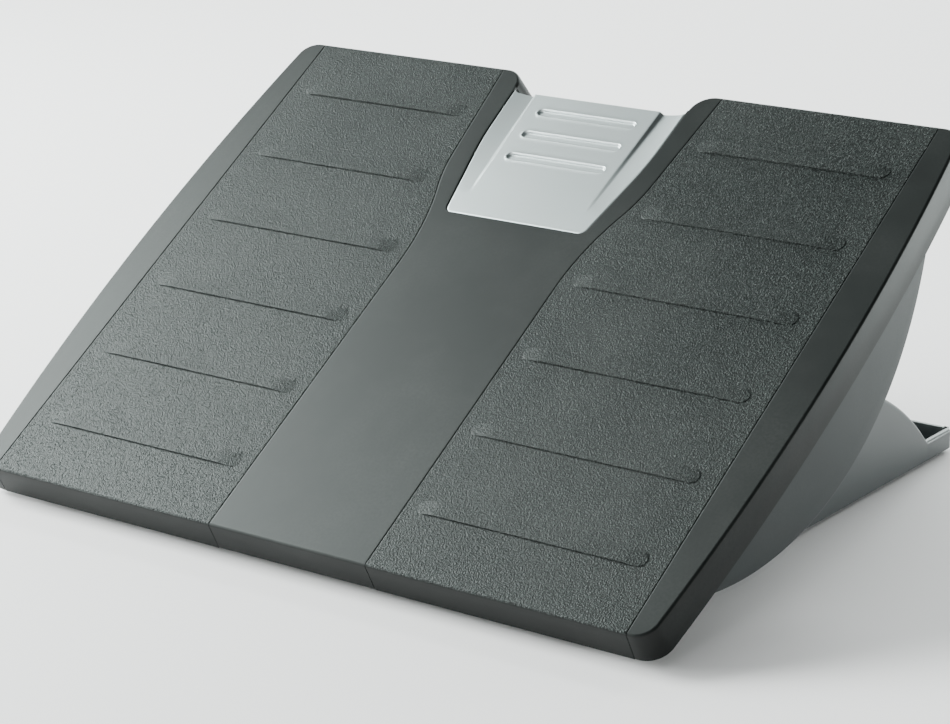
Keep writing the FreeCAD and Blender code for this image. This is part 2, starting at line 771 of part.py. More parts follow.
def build_block():
    made = new_body("pivot_block_right")
    half = size.block_width / 2
    wide = half + size.block_flange
    bore = circle(pivot[0], pivot[1], size.pin_radius + size.pin_running_gap)
    flange = add_sketch(made, "block_flange_profile", "YZ_Plane",
                        bevelled_rectangle(pivot[0] - wide, pivot[1] - wide, pivot[0] + wide,
                                           pivot[1] + wide, size.block_flange) + [bore], block_start)
    add_feature(made, "Pad", "block_flange_pad", flange, Length="block_flange_wall")
    square = rectangle(pivot[0] - half, pivot[1] - half, pivot[0] + half, pivot[1] + half)
    body_start = block_start + size.block_flange_wall
    slide = add_sketch(made, "block_profile", "YZ_Plane", square + [bore], body_start)
    add_feature(made, "Pad", "block_pad", slide, Length="bracket_wall + 2 * block_side_gap")
    # the stop tab hangs between the two stop posts of the side frame
    tab_half = size.tab_width / 2
    root = size.pin_radius + size.block_side_gap
    lug = add_sketch(made, "tab_profile", "YZ_Plane",
                     rectangle(pivot[0] - tab_half, pivot[1] - size.tab_reach,
                               pivot[0] + tab_half, pivot[1] - root), tab_start)
    add_feature(made, "Pad", "tab", lug, Length="tab_wall + block_flange_wall")
    return keep_pair(made, "pivot_block", deck_place)


# base side frames

def arch_edges():
    """The upper edge of a side frame, from its front rim over the arch to its rear rim."""
    top = (size.arch_top, size.arch_height)
    foot = (size.arch_foot_front, size.rim_height)
    knee = (size.arch_knee, size.arch_knee_height)
    rear_foot = (size.arch_foot_rear, size.rim_height)

    def through_top(point):
        run = point[0] - top[0]
        drop = top[1] - point[1]
        radius = (run ** 2 + drop ** 2) / (2 * drop)
        return (top[0], top[1] - radius), radius

    def direction(centre, point):
        return math.degrees(math.atan2(point[1] - centre[1], point[0] - centre[0]))

    def notch(centre, radius, side):
        """Centre of the small round between the arch and the rim, on one side of the arch."""
        height = size.rim_height + size.arch_notch_round
        reach = math.sqrt((radius + size.arch_notch_round) ** 2 - (height - centre[1]) ** 2)
        return (centre[0] + side * reach, height)

    front_centre, front_radius = through_top(foot)
    knee_centre, knee_radius = through_top(knee)
    knee_angle = direction(knee_centre, knee)
    # the last arc leaves the knee along the same tangent and reaches the rear rim
    run = rear_foot[0] - knee[0]
    rise = rear_foot[1] - knee[1]
    normal = (math.cos(math.radians(knee_angle)), math.sin(math.radians(knee_angle)))
    tail_radius = -(run ** 2 + rise ** 2) / (2 * (run * normal[0] + rise * normal[1]))
    tail_centre = (knee[0] - tail_radius * normal[0], knee[1] - tail_radius * normal[1])
    front_round = notch(front_centre, front_radius, -1)
    rear_round = notch(tail_centre, tail_radius, 1)
    front_angle = direction(front_centre, front_round)
    rear_angle = direction(tail_centre, rear_round)
    return [
        line((size.frame_front, size.rim_height), (front_round[0], size.rim_height)),
        arc_about(front_round, size.arch_notch_round, -90, front_angle - 180),
        arc_about(front_centre, front_radius, front_angle, 90),
        arc_about(knee_centre, knee_radius, 90, knee_angle),
        arc_about(tail_centre, tail_radius, knee_angle, rear_angle),
        arc_about(rear_round, size.arch_notch_round, rear_angle - 180, -90),
        line((rear_round[0], size.rim_height), (size.frame_rear, size.rim_height)),
    ]


pin_place = (pivot_y, size.pivot_height)
inner_face = frame_half_width - size.frame_wall
foot_at = inner_face - size.foot_inset
foot_rows = [
    ("front", size.frame_front + size.foot_front_inset),
    ("rear", size.frame_rear - size.foot_rear_inset),
]
rail_screw_places = [
    (foot_at, size.frame_front + size.rail_screw_inset),
    (foot_at, size.frame_rear - size.rail_screw_inset),
]


def foot_outline(x, y):
    half_width = size.foot_width / 2
    half_length = size.foot_length / 2
    return rectangle(x - half_width, y - half_length, x + half_width, y + half_length)


def build_side_frame():
    made = new_body("base_side_right")
    low = size.frame_clearance
    profile = arch_edges() + [
        line((size.frame_rear, size.rim_height), (size.frame_rear, low)),
        line((size.frame_rear, low), (size.frame_front, low)),
        line((size.frame_front, low), (size.frame_front, size.rim_height)),
    ]
    wall_plan = add_sketch(made, "side_profile", "YZ_Plane", profile, inner_face)
    wall = add_feature(made, "Pad", "side_wall", wall_plan, Length="frame_wall")
    doc.recompute()
    # on the outer side, bevels at the upright corners and then along the rim
    corners = [
        "Edge%d" % number for number, edge in enumerate(wall.Shape.Edges, 1)
        if edge.BoundBox.ZLength > size.rim_height / 2 and edge.BoundBox.YLength < size.rail_gap
        and edge.BoundBox.XMin > frame_half_width - size.rail_gap
    ]
    ends = made.newObject("PartDesign::Chamfer", "frame_corners")
    ends.Base = (wall, corners)
    bind(ends, Size="frame_corner")
    doc.recompute()
    names = [
        "Edge%d" % number for number, edge in enumerate(ends.Shape.Edges, 1)
        if edge.BoundBox.ZMin >= size.rim_height - size.rail_gap
        and edge.BoundBox.XMin > frame_half_width - size.frame_corner - size.rail_gap
        and edge.BoundBox.XMax > frame_half_width - size.rail_gap
    ]
    rim = made.newObject("PartDesign::Chamfer", "rim_bevel")
    rim.Base = (ends, names)
    bind(rim, Size="rim_bevel")
    doc.recompute()
    # the floor flange that carries the rails and the feet
    edge = size.rail_wall + size.rail_gap
    reach = inner_face + size.frame_wall / 2
    lap = add_sketch(made, "flange_plan", "XY_Plane",
                     rectangle(inner_face - size.flange_width, size.frame_front + edge,
                               reach, size.frame_rear - edge), low)
    add_feature(made, "Pad", "flange", lap, Length="flange_wall - rail_lap")
    edge = size.rail_width + size.rail_gap
    full = add_sketch(made, "flange_top_plan", "XY_Plane",
                      rectangle(inner_face - size.flange_width, size.frame_front + edge,
                                reach, size.frame_rear - edge), low)
    add_feature(made, "Pad", "flange_top", full, Length="flange_wall")
    # the pin's boss inside, and its bore
    boss = add_sketch(made, "boss_profile", "YZ_Plane",
                      [circle(*pin_place, size.boss_radius)], inner_face - size.boss_length)
    add_feature(made, "Pad", "boss", boss, Length="boss_length + frame_wall / 2")
    bore = add_sketch(made, "pin_bore_profile", "YZ_Plane",
                      [circle(*pin_place, size.pin_radius + size.pin_running_gap)],
                      inner_face - size.boss_length)
    add_feature(made, "Pocket", "pin_bore", bore, Length="boss_length + frame_wall * 2").Reversed = True
    # two posts outside, where the block's tab stops at each end of the tilt
    offset = size.tab_width / 2 + size.stop_radius + size.stop_gap
    side_angle = math.degrees(math.asin(offset / size.stop_circle))
    posts = [
        circle(*polar(pin_place, size.stop_circle, -90 + size.rest_tilt + side_angle), size.stop_radius),
        circle(*polar(pin_place, size.stop_circle, -90 - size.back_tilt - side_angle), size.stop_radius),
    ]
    stops = add_sketch(made, "stop_profile", "YZ_Plane", posts, frame_half_width - size.frame_wall / 2)
    add_feature(made, "Pad", "stops", stops, Length="frame_wall / 2 + tab_wall")
    # seats for the feet and pilot holes for the rail screws
    outlines = [foot_outline(foot_at, y) for name, y in foot_rows]
    seats = add_sketch(made, "foot_seat_plan", "XY_Plane", sum(outlines, []), low)
    add_feature(made, "Pocket", "foot_seats", seats, Length="foot_seat").Reversed = True
    holes = [circle(x, y, size.screw_radius) for x, y in rail_screw_places]
    pilots = add_sketch(made, "rail_pilot_plan", "XY_Plane", holes, low)
    add_feature(made, "Pocket", "rail_pilots", pilots, Length="flange_wall").Reversed = True
    return keep_pair(made, "base_side", base_place)


def build_rail(label, edge, direction):
    """A cross rail: an upright web at the base's edge and a flat that laps over the side flanges."""
    made = new_body(label)
    half = inner_face - size.rail_gap
    seat = size.frame_clearance + size.flange_wall - size.rail_lap
    limits = sorted((edge, edge + direction * size.rail_wall))
    web = add_sketch(made, label + "_web_plan", "XY_Plane",
                     rectangle(-half, limits[0], half, limits[1]), size.frame_clearance)
    add_feature(made, "Pad", label + "_web", web, Length="rim_height - frame_clearance")
    limits = sorted((edge, edge + direction * size.rail_width))
    flat = add_sketch(made, label + "_flat_plan", "XY_Plane", rectangle(-half, limits[0], half, limits[1]), seat)
    add_feature(made, "Pad", label + "_flat", flat, Length="rail_lap")
    half = inner_face - size.flange_width - size.rail_gap
    under = add_sketch(made, label + "_under_plan", "XY_Plane", rectangle(-half, limits[0], half, limits[1]),
                       size.frame_clearance)
    add_feature(made, "Pad", label + "_under", under, Length="flange_wall")
    y = edge + direction * size.rail_screw_inset
    holes = [circle(side * foot_at, y, size.screw_radius + size.screw_hole_gap) for side in (-1, 1)]
    clear = add_sketch(made, label + "_hole_plan", "XY_Plane", holes, seat)
    add_feature(made, "Pocket", label + "_holes", clear, Length="rail_lap").Reversed = True
    return keep(made, label, base_place)


# pins, nuts, feet and screws

def build_pin():
    """A hex-headed pin through the side frame's boss, and the push-on nut on its outer end."""
    head = inner_face - size.boss_length - size.pin_head
    nut_at = block_end + size.block_side_gap
    pin = new_body("pivot_pin_right")
    cap = add_sketch(pin, "pin_head_profile", "YZ_Plane", hexagon(*pin_place, size.pin_head_radius), head)
    add_feature(pin, "Pad", "pin_head", cap, Length="pin_head")
    shank = add_sketch(pin, "pin_profile", "YZ_Plane", [circle(*pin_place, size.pin_radius)], head)
    reach = nut_at + size.nut_wall + size.pin_tail - head
    add_feature(pin, "Pad", "pin_shank", shank).Length = reach
    keep_pair(pin, "pivot_pin", base_place)
    nut = new_body("pin_nut_right")
    ring = hexagon(*pin_place, size.nut_radius) + [circle(*pin_place, size.pin_radius)]
    plan = add_sketch(nut, "nut_profile", "YZ_Plane", ring, nut_at)
    add_feature(nut, "Pad", "nut_pad", plan, Length="nut_wall")
    keep_pair(nut, "pin_nut", base_place)


def build_foot(label, x, y):
    """A rubber pad let into the flange, with its floor edges bevelled."""
    made = new_body(label)
    plan = add_sketch(made, label + "_plan", "XY_Plane", foot_outline(x, y))
    pad = add_feature(made, "Pad", label + "_pad", plan, Length="foot_height")
    doc.recompute()
    names = [
        "Edge%d" % number for number, edge in enumerate(pad.Shape.Edges, 1)
        if edge.BoundBox.ZMax < size.foot_bevel / 2
    ]
    bevel = made.newObject("PartDesign::Chamfer", label + "_bevel")
    bevel.Base = (pad, names)
    bind(bevel, Size="foot_bevel")
    return keep(made, label, base_place)


def screw_group(label, places, seat, length, up, place):
    """Hex-headed screws of one kind, as separate solids of one node, on both sides."""
    made = []
    for number, (x, y) in enumerate([(side * x, y) for side in (-1, 1) for x, y in places]):
        head = doc.addObject("Part::Prism", "%s_head_%d" % (label, number))
        head.Polygon = 6
        bind(head, Circumradius="screw_head_radius", Height="screw_head")
        head.Placement = Placement(Vector(x, y, seat - size.screw_head if up else seat), Rotation())
        shank = doc.addObject("Part::Prism", "%s_shank_%d" % (label, number))
        shank.Polygon = 8
        bind(shank, Circumradius="screw_radius")
        shank.Height = length
        shank.Placement = Placement(Vector(x, y, seat if up else seat - length), Rotation())
        made.append(join("Fuse", "%s_%d" % (label, number), head, shank))
    group = doc.addObject("Part::Compound", label)
    group.Links = made
    return keep(group, label, place)


build_shell()
build_treads()
build_insert()
build_cheek()
build_bracket()
build_block()
build_side_frame()
build_rail("base_front_rail", size.frame_front, 1)
build_rail("base_rear_rail", size.frame_rear, -1)
build_pin()
for row_name, foot_y in foot_rows:
    build_foot("foot_%s_left" % row_name, -foot_at, foot_y)
    build_foot("foot_%s_right" % row_name, foot_at, foot_y)
screw_group("cheek_screws", cheek_screw_places, -size.deck_wall - size.cheek_lug_wall,
            size.cheek_lug_wall + size.screw_bite - size.stop_gap, True, deck_place)
screw_group("bracket_screws", bracket_screw_places, -size.deck_wall - size.bracket_foot_wall,
            size.bracket_foot_wall + size.screw_bite - size.stop_gap, True, deck_place)
screw_group("rail_screws", rail_screw_places, size.frame_clearance + size.flange_wall,
            size.rail_lap + size.rail_screw_bite, False, base_place)
doc.recompute()

for made in doc.Objects:
    if "Invalid" in made.State or "Error" in made.State:
        raise RuntimeError("%s failed: %s" % (made.Label, made.State))

os.makedirs("parts", exist_ok=True)
for made in nodes:
    shape = made.Shape
    if shape.isNull() or not shape.isValid():
        raise RuntimeError("%s has no valid shape" % made.Label)
    shape.exportStep("parts/%s.step" % made.Label)
    print(made.Label, len(shape.Solids), round(shape.Volume, 1))
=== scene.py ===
import logging
import math
from dataclasses import dataclass
from enum import Enum

import bmesh
import bpy
import numpy as np
from mathutils import Matrix, Vector


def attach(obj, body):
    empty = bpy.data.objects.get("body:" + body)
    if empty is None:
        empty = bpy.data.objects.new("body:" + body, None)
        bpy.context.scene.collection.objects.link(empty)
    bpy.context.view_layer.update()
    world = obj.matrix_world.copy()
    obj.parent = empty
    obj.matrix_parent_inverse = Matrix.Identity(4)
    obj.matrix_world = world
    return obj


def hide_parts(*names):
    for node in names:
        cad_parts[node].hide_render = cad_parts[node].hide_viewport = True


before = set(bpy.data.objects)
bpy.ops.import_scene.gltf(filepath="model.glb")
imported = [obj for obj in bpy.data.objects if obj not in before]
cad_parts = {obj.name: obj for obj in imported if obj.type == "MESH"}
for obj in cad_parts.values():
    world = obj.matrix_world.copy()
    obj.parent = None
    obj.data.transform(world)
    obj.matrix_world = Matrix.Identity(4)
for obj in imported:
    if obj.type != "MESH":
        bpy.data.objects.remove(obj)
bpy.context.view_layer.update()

log = logging.getLogger("footrest")
MM = 0.001
TILT = math.radians(32.3)
MIDDLE_Y = 175.7278
DECK_Z = 17.4191
QUARTER = math.pi / 2

Socket = bpy.types.NodeSocket


class Body(Enum):
    """The bodies that the pieces built here ride on."""

    BASE = "base"
    PLATFORM = "platform"


# points and surfaces

def joined(*parts: object) -> np.ndarray:
    """Arrays and numbers brought to one shape and laid side by side along a new last axis."""
    return np.stack(np.broadcast_arrays(*parts), axis=-1)


def in_deck(points: np.ndarray) -> np.ndarray:
    """Takes points from the platform's own frame to the row frame.

    The platform's Y runs up its slope and its Z stands out of its face, so a
    point is turned about X by the rest tilt and moved to where the deck lies.

    Args:
        points: Millimetres, last axis x, y, z.

    Returns:
        Metres in the row frame, same shape.
    """
    x, y, w = points[..., 0], points[..., 1], points[..., 2]
    return MM * joined(
        x,
        y * math.cos(TILT) - w * math.sin(TILT) - MIDDLE_Y,
        DECK_Z + y * math.sin(TILT) + w * math.cos(TILT),
    )


def on_floor(points: np.ndarray) -> np.ndarray:
    """Takes points from the base's frame to the row frame: a shift along Y, then metres."""
    return (points - np.array([0.0, MIDDLE_Y, 0.0])) * MM


@dataclass
class Surface:
    """A mesh in the making: points in millimetres and four-cornered faces.

    A three-cornered face repeats its last corner.
    """

    points: np.ndarray
    quads: np.ndarray

    def plus(self, *others: "Surface") -> "Surface":
        """Joins surfaces by stacking their points and shifting the later faces' numbers."""
        points, quads = [self.points], [self.quads]
        count = len(self.points)
        for other in others:
            points.append(other.points)
            quads.append(other.quads + count)
            count += len(other.points)
        return Surface(np.concatenate(points), np.concatenate(quads))

    def turned(self) -> "Surface":
        """The same surface with its faces looking the other way.

        The first two and the last two corners change places, so a three-cornered
        face still repeats its last corner.
        """
        return Surface(self.points, self.quads[:, [1, 0, 3, 2]])

    def mirrored(self) -> "Surface":
        """The same surface on the other side of X = 0."""
        return Surface(self.points * np.array([-1.0, 1.0, 1.0]), self.quads).turned()

    def both_sides(self) -> "Surface":
        """The surface and its mirror image."""
        return self.plus(self.mirrored())


def sheet_of(points: np.ndarray, keep: np.ndarray | None = None, around: bool = False) -> Surface:
    """Faces over a grid: cell (i, j) joins points (i, j), (i, j+1), (i+1, j+1), (i+1, j).

    Where rows go along +Y and columns along +X, the faces look to +Z.

    Args:
        points: Array (rows, columns, 3).
        keep: Which cells to keep, or all of them.
        around: Whether the last column joins the first again.

    Returns:
        The sheet.
    """
    rows, columns = points.shape[:2]
    numbers = np.arange(rows * columns).reshape(rows, columns)
    if around:
        numbers = np.concatenate([numbers, numbers[:, :1]], axis=1)
    cells = joined(numbers[:-1, :-1], numbers[:-1, 1:], numbers[1:, 1:], numbers[1:, :-1])
    if keep is not None:
        cells = cells[keep]
    return Surface(points.reshape(-1, 3), cells.reshape(-1, 4))


def grid_of(columns: list[tuple[object, object]], y: np.ndarray) -> np.ndarray:
    """A grid of points with its rows at y and its columns given as pairs (x, height)."""
    return np.stack([joined(x, y, w) for x, w in columns], axis=1)


def plate_of(top: np.ndarray, bottom: np.ndarray) -> Surface:
    """A closed plate: a top grid, a bottom grid turned round, and walls between their borders."""
    rows, columns = top.shape[:2]
    count = rows * columns
    border = np.concatenate([
        np.arange(columns),
        np.arange(1, rows) * columns + columns - 1,
        (rows - 1) * columns + np.arange(columns - 2, -1, -1),
        np.arange(rows - 2, -1, -1) * columns,
    ])
    walls = joined(border[:-1] + count, border[1:] + count, border[1:], border[:-1])
    faces = sheet_of(top).plus(sheet_of(bottom).turned())
    return Surface(faces.points, np.concatenate([faces.quads, walls]))


def capped(rings: np.ndarray) -> Surface:
    """A tube of closed rings with a fan of faces over each end, from the end ring's mean point."""
    rows, columns = rings.shape[:2]
    tube = sheet_of(rings, around=True)
    ends = np.stack([rings[0].mean(axis=0), rings[-1].mean(axis=0)])
    here = np.arange(columns)
    following = (here + 1) % columns
    hub, last = rows * columns, (rows - 1) * columns
    fans = [joined(following, here, hub, hub), joined(here + last, following + last, hub + 1, hub + 1)]
    return Surface(np.concatenate([tube.points, ends]), np.concatenate([tube.quads, *fans]))


def round_steps(radius: float, count: int) -> tuple[np.ndarray, np.ndarray]:
    """How far in and how far down a quarter round lies, from its flat top to its upright side."""
    angle = np.linspace(0.0, QUARTER, count)
    return radius * (1.0 - np.sin(angle)), radius * (1.0 - np.cos(angle))


def box_of(low: tuple[float, float, float], high: tuple[float, float, float], radius: float,
           corner: float = 0.0) -> Surface:
    """A block with rounded edges.

    Its outline is a rectangle whose corners are quarter circles. The outline is
    drawn at a row of heights, drawn in near the bottom and top by a quarter round.

    Args:
        low: Lowest corner.
        high: Highest corner.
        radius: Round along the bottom and top edges.
        corner: Extra radius of the upright corners.

    Returns:
        The closed block.
    """
    reach = radius + corner
    steps = 5
    angle = np.concatenate([np.linspace(0, QUARTER, steps) + turn * QUARTER for turn in range(4)])
    way = joined(np.cos(angle), np.sin(angle))
    sign = np.repeat(np.array([[1, 1], [-1, 1], [-1, -1], [1, -1]]), steps, axis=0)
    near, far = np.array(low[:2]), np.array(high[:2])
    centre, half = (near + far) / 2, (far - near) / 2 - reach
    inset, drop = round_steps(radius, 4)
    insets = np.concatenate([inset, inset[::-1]])
    heights = np.concatenate([high[2] - drop, low[2] + drop[::-1]])[::-1]
    plan = centre + sign * half + way * (reach - insets[:, None, None])
    return capped(joined(plan[..., 0], plan[..., 1], heights[:, None]))


def turned_of(profile: np.ndarray, centre: tuple[float, float], count: int = 40) -> Surface:
    """A profile of (radius, x) pairs turned about a line along X through a point of the YZ plane."""
    angle = np.linspace(0, 2 * math.pi, count, endpoint=False)
    radius, along = profile[:, :1], profile[:, 1:]
    return capped(joined(along, centre[0] + radius * np.cos(angle), centre[1] + radius * np.sin(angle)))


def arc_points(centre: object, radius: float, start: float, end: float, count: int) -> np.ndarray:
    """Points on an arc: its centre plus the radius along directions between two angles in degrees."""
    angle = np.radians(np.linspace(start, end, count))
    return np.asarray(centre) + radius * joined(np.cos(angle), np.sin(angle))


def level_run(x: object, y: float, way: float) -> tuple[np.ndarray, np.ndarray]:
    """Points on a line of one y, and at each the direction (0, way)."""
    return joined(x, y), joined(np.zeros(len(x)), way)


def bend(centre: np.ndarray, radius: float, start: float, end: float, count: int,
         way: float = 1.0) -> tuple[np.ndarray, np.ndarray]:
    """An arc's points and their directions, away from its centre, or towards it for a way of -1."""
    points = arc_points(centre, radius, start, end, count)
    return points, way * (points - centre) / radius


def angle_of(centre: np.ndarray, point: np.ndarray) -> float:
    """The angle in degrees at which a point lies from a centre."""
    return math.degrees(math.atan2(point[1] - centre[1], point[0] - centre[0]))


def half_chord(radius: float, away: np.ndarray) -> np.ndarray:
    """Half the length of a circle's chord at a distance from its centre, none beyond the circle."""
    return np.sqrt(np.maximum(radius ** 2 - away ** 2, 0.0))


def between(first: np.ndarray, second: np.ndarray, share: float) -> np.ndarray:
    """The values a share of the way from the first to the second."""
    return first * (1 - share) + second * share


def series(first: float, pitch: float, count: int) -> list[float]:
    """Values a pitch apart."""
    return [first + number * pitch for number in range(count)]


def ease(value: np.ndarray) -> np.ndarray:
    """Three squared less two cubed of a value held between 0 and 1."""
    held = np.clip(value, 0.0, 1.0)
    return held * held * (3.0 - 2.0 * held)


def soft_least(first: np.ndarray, second: np.ndarray, blend: float) -> np.ndarray:
    """The lesser of two arrays with the crease between them rounded over a blend distance."""
    share = np.clip(0.5 + (second - first) / (2 * blend), 0.0, 1.0)
    return second * (1 - share) + first * share - blend * share * (1 - share)


def spread(marks: list[float], step: float) -> np.ndarray:
    """Rising values through every mark, with no gap between neighbours above the step."""
    parts = []
    for start, end in zip(marks, marks[1:]):
        count = max(1, math.ceil((end - start) / step - 1e-9))
        parts.append(np.linspace(start, end, count, endpoint=False))
    return np.concatenate(parts + [np.array([marks[-1]])])


def edge_marks(start: float, end: float, count: int, tight_end: bool = False) -> np.ndarray:
    """Values from start to end, crowded towards one of them by a quarter cosine."""
    share = np.linspace(0.0, QUARTER, count)
    part = np.sin(share) if tight_end else 1 - np.cos(share)
    return start + (end - start) * part


# finishes

NUMBER = "NodeSocketFloat"
COLOUR = "NodeSocketColor"
PLACE = "NodeSocketVector"


class Nodes:
    """Adds and joins the nodes of a material, of the sky or of a shared group."""

    def __init__(self, tree: bpy.types.NodeTree) -> None:
        """Keeps the tree that the nodes go into."""
        self.tree = tree

    def fill(self, socket: Socket, value: object) -> None:
        """Joins an input to an output socket, or sets its value."""
        if isinstance(value, Socket):
            self.tree.links.new(value, socket)
        else:
            socket.default_value = value

    def add(self, kind: str, values: dict | None = None, **settings: object) -> bpy.types.Node:
        """Adds a node.

        Args:
            kind: Node type.
            values: Input name or number to a value or an output socket.
            settings: Properties of the node, set before its inputs.

        Returns:
            The new node.
        """
        node = self.tree.nodes.new(kind)
        for name, value in settings.items():
            setattr(node, name, value)
        for key, value in (values or {}).items():
            self.fill(node.inputs[key], value)
        return node

    def math(self, operation: str, first: object, second: object) -> Socket:
        """A sum, product or other operation on two values."""
        return self.add("ShaderNodeMath", {0: first, 1: second}, operation=operation).outputs[0]

    def blend(self, share: object, first: object, second: object) -> Socket:
        """A colour between two colours, by the Mix node's share and its colour inputs 6 and 7."""
        return self.add("ShaderNodeMix", {0: share, 6: first, 7: second}, data_type="RGBA").outputs[2]

    def noise(self, place: Socket, scale: object, detail: float, **more: float) -> Socket:
        """The value of a noise texture."""
        return self.add("ShaderNodeTexNoise", {"Vector": place, "Scale": scale, "Detail": detail, **more}).outputs[0]

    def remap(self, value: object, low: float, high: float, kind: str = "LINEAR", **more: float) -> Socket:
        """A value carried from the range between low and high to 0 and 1, or to other ends, and held there."""
        return self.add("ShaderNodeMapRange", {"Value": value, "From Min": low, "From Max": high, **more},
                        interpolation_type=kind).outputs[0]


class Group(Nodes):
    """A shared node group."""

    def __init__(self, name: str, inputs: dict[str, tuple[str, object]], outputs: dict[str, str]) -> None:
        """Starts the group.

        Args:
            name: The group's name.
            inputs: Name to socket type and starting value.
            outputs: Name to socket type.
        """
        super().__init__(bpy.data.node_groups.new(name, "ShaderNodeTree"))
        for label, (kind, value) in inputs.items():
            self.tree.interface.new_socket(label, in_out="INPUT", socket_type=kind).default_value = value
        for label, kind in outputs.items():
            self.tree.interface.new_socket(label, in_out="OUTPUT", socket_type=kind)
        self.given = self.add("NodeGroupInput").outputs
        self.result = self.add("NodeGroupOutput")

    def give(self, label: str, value: Socket) -> None:
        """Joins a value to one of the group's outputs."""
        self.fill(self.result.inputs[label], value)


NOWHERE = (0, 0, 0)
FINE_WEIGHT, BROAD_WEIGHT = 0.7, 0.5
STONE_EDGE, STONE_TOP = 0.5, 0.08
CROWN_EDGE, CROWN_TOP = 0.36, 0.1
FLECKS = (0.44, 0.66)
PATCHES = (0.42, 0.72)
PATCH_ROUGHNESS = 0.03


def grain_group() -> bpy.types.NodeTree:
    """Moulded grain: two sizes of noise as a height, and the fine one as a small change of roughness."""
    group = Group(
        "moulded_grain",
        {"Vector": (PLACE, NOWHERE), "Scale": (NUMBER, 1600.0), "Coarse": (NUMBER, 300.0),
         "Roughness": (NUMBER, 0.5), "Spread": (NUMBER, 0.08)},
        {"Height": NUMBER, "Roughness": NUMBER},
    )
    given = group.given
    fine = group.noise(given["Vector"], given["Scale"], 2.0)
    broad = group.noise(given["Vector"], given["Coarse"], 1.0)
    fine_part, broad_part = group.math("MULTIPLY", fine, FINE_WEIGHT), group.math("MULTIPLY", broad, BROAD_WEIGHT)
    group.give("Height", group.math("ADD", fine_part, broad_part))
    swing = group.math("MULTIPLY", group.math("SUBTRACT", fine, 0.5), given["Spread"])
    group.give("Roughness", group.math("ADD", given["Roughness"], swing))
    return group.tree


def pebble_group() -> bpy.types.NodeTree:
    """Pebbled stipple: rounded cells of uneven size with finer noise on them.

    It gives their height. It also gives a share that the material paints as shade in the low places of the noise and
    as glints on its high places, and a crown on the tips of the tall cells, which the material paints as a glint.
    """
    group = Group(
        "pebbled_stipple",
        {"Vector": (PLACE, NOWHERE), "Cells": (NUMBER, 840.0), "Unevenness": (NUMBER, 0.8)},
        {"Height": NUMBER, "CrownGlint": NUMBER, "GlintShade": NUMBER},
    )
    given = group.given
    cells = group.add("ShaderNodeTexVoronoi", {"Vector": given["Vector"], "Scale": given["Cells"]}, feature="F1")
    chance = group.add("ShaderNodeSeparateColor", {0: cells.outputs["Color"]}).outputs[0]
    away = cells.outputs["Distance"]
    tall = group.remap(chance, 0.3, 1.0, **{"To Min": 0.05, "To Max": 1.0})
    stones = group.math("MULTIPLY", group.remap(away, STONE_EDGE, STONE_TOP, "SMOOTHSTEP"), tall)
    uneven = group.noise(given["Vector"], 1300.0, 1.0)
    group.give("Height", group.math("ADD", stones, group.math("MULTIPLY", uneven, given["Unevenness"])))
    group.give("GlintShade", group.remap(uneven, *FLECKS))
    group.give("CrownGlint", group.math("MULTIPLY", group.remap(away, CROWN_EDGE, CROWN_TOP), tall))
    return group.tree


def wear_group() -> bpy.types.NodeTree:
    """Dust and handling: slow patches that lighten a colour a little and raise its roughness."""
    group = Group(
        "handling_and_dust",
        {"Vector": (PLACE, NOWHERE), "Color": (COLOUR, (0.1, 0.1, 0.1, 1)), "Dust": (COLOUR, (0.5, 0.5, 0.48, 1)),
         "Amount": (NUMBER, 0.04), "Roughness": (NUMBER, 0.5)},
        {"Color": COLOUR, "Roughness": NUMBER},
    )
    given = group.given
    patches = group.remap(group.noise(given["Vector"], 9.0, 4.0, Roughness=0.6), *PATCHES)
    specks = group.noise(given["Vector"], 700.0, 2.0)
    share = group.math("MULTIPLY", group.math("MULTIPLY", patches, specks), given["Amount"])
    group.give("Color", group.blend(share, given["Color"], given["Dust"]))
    group.give("Roughness", group.math("ADD", given["Roughness"], group.math("MULTIPLY", patches, PATCH_ROUGHNESS)))
    return group.tree


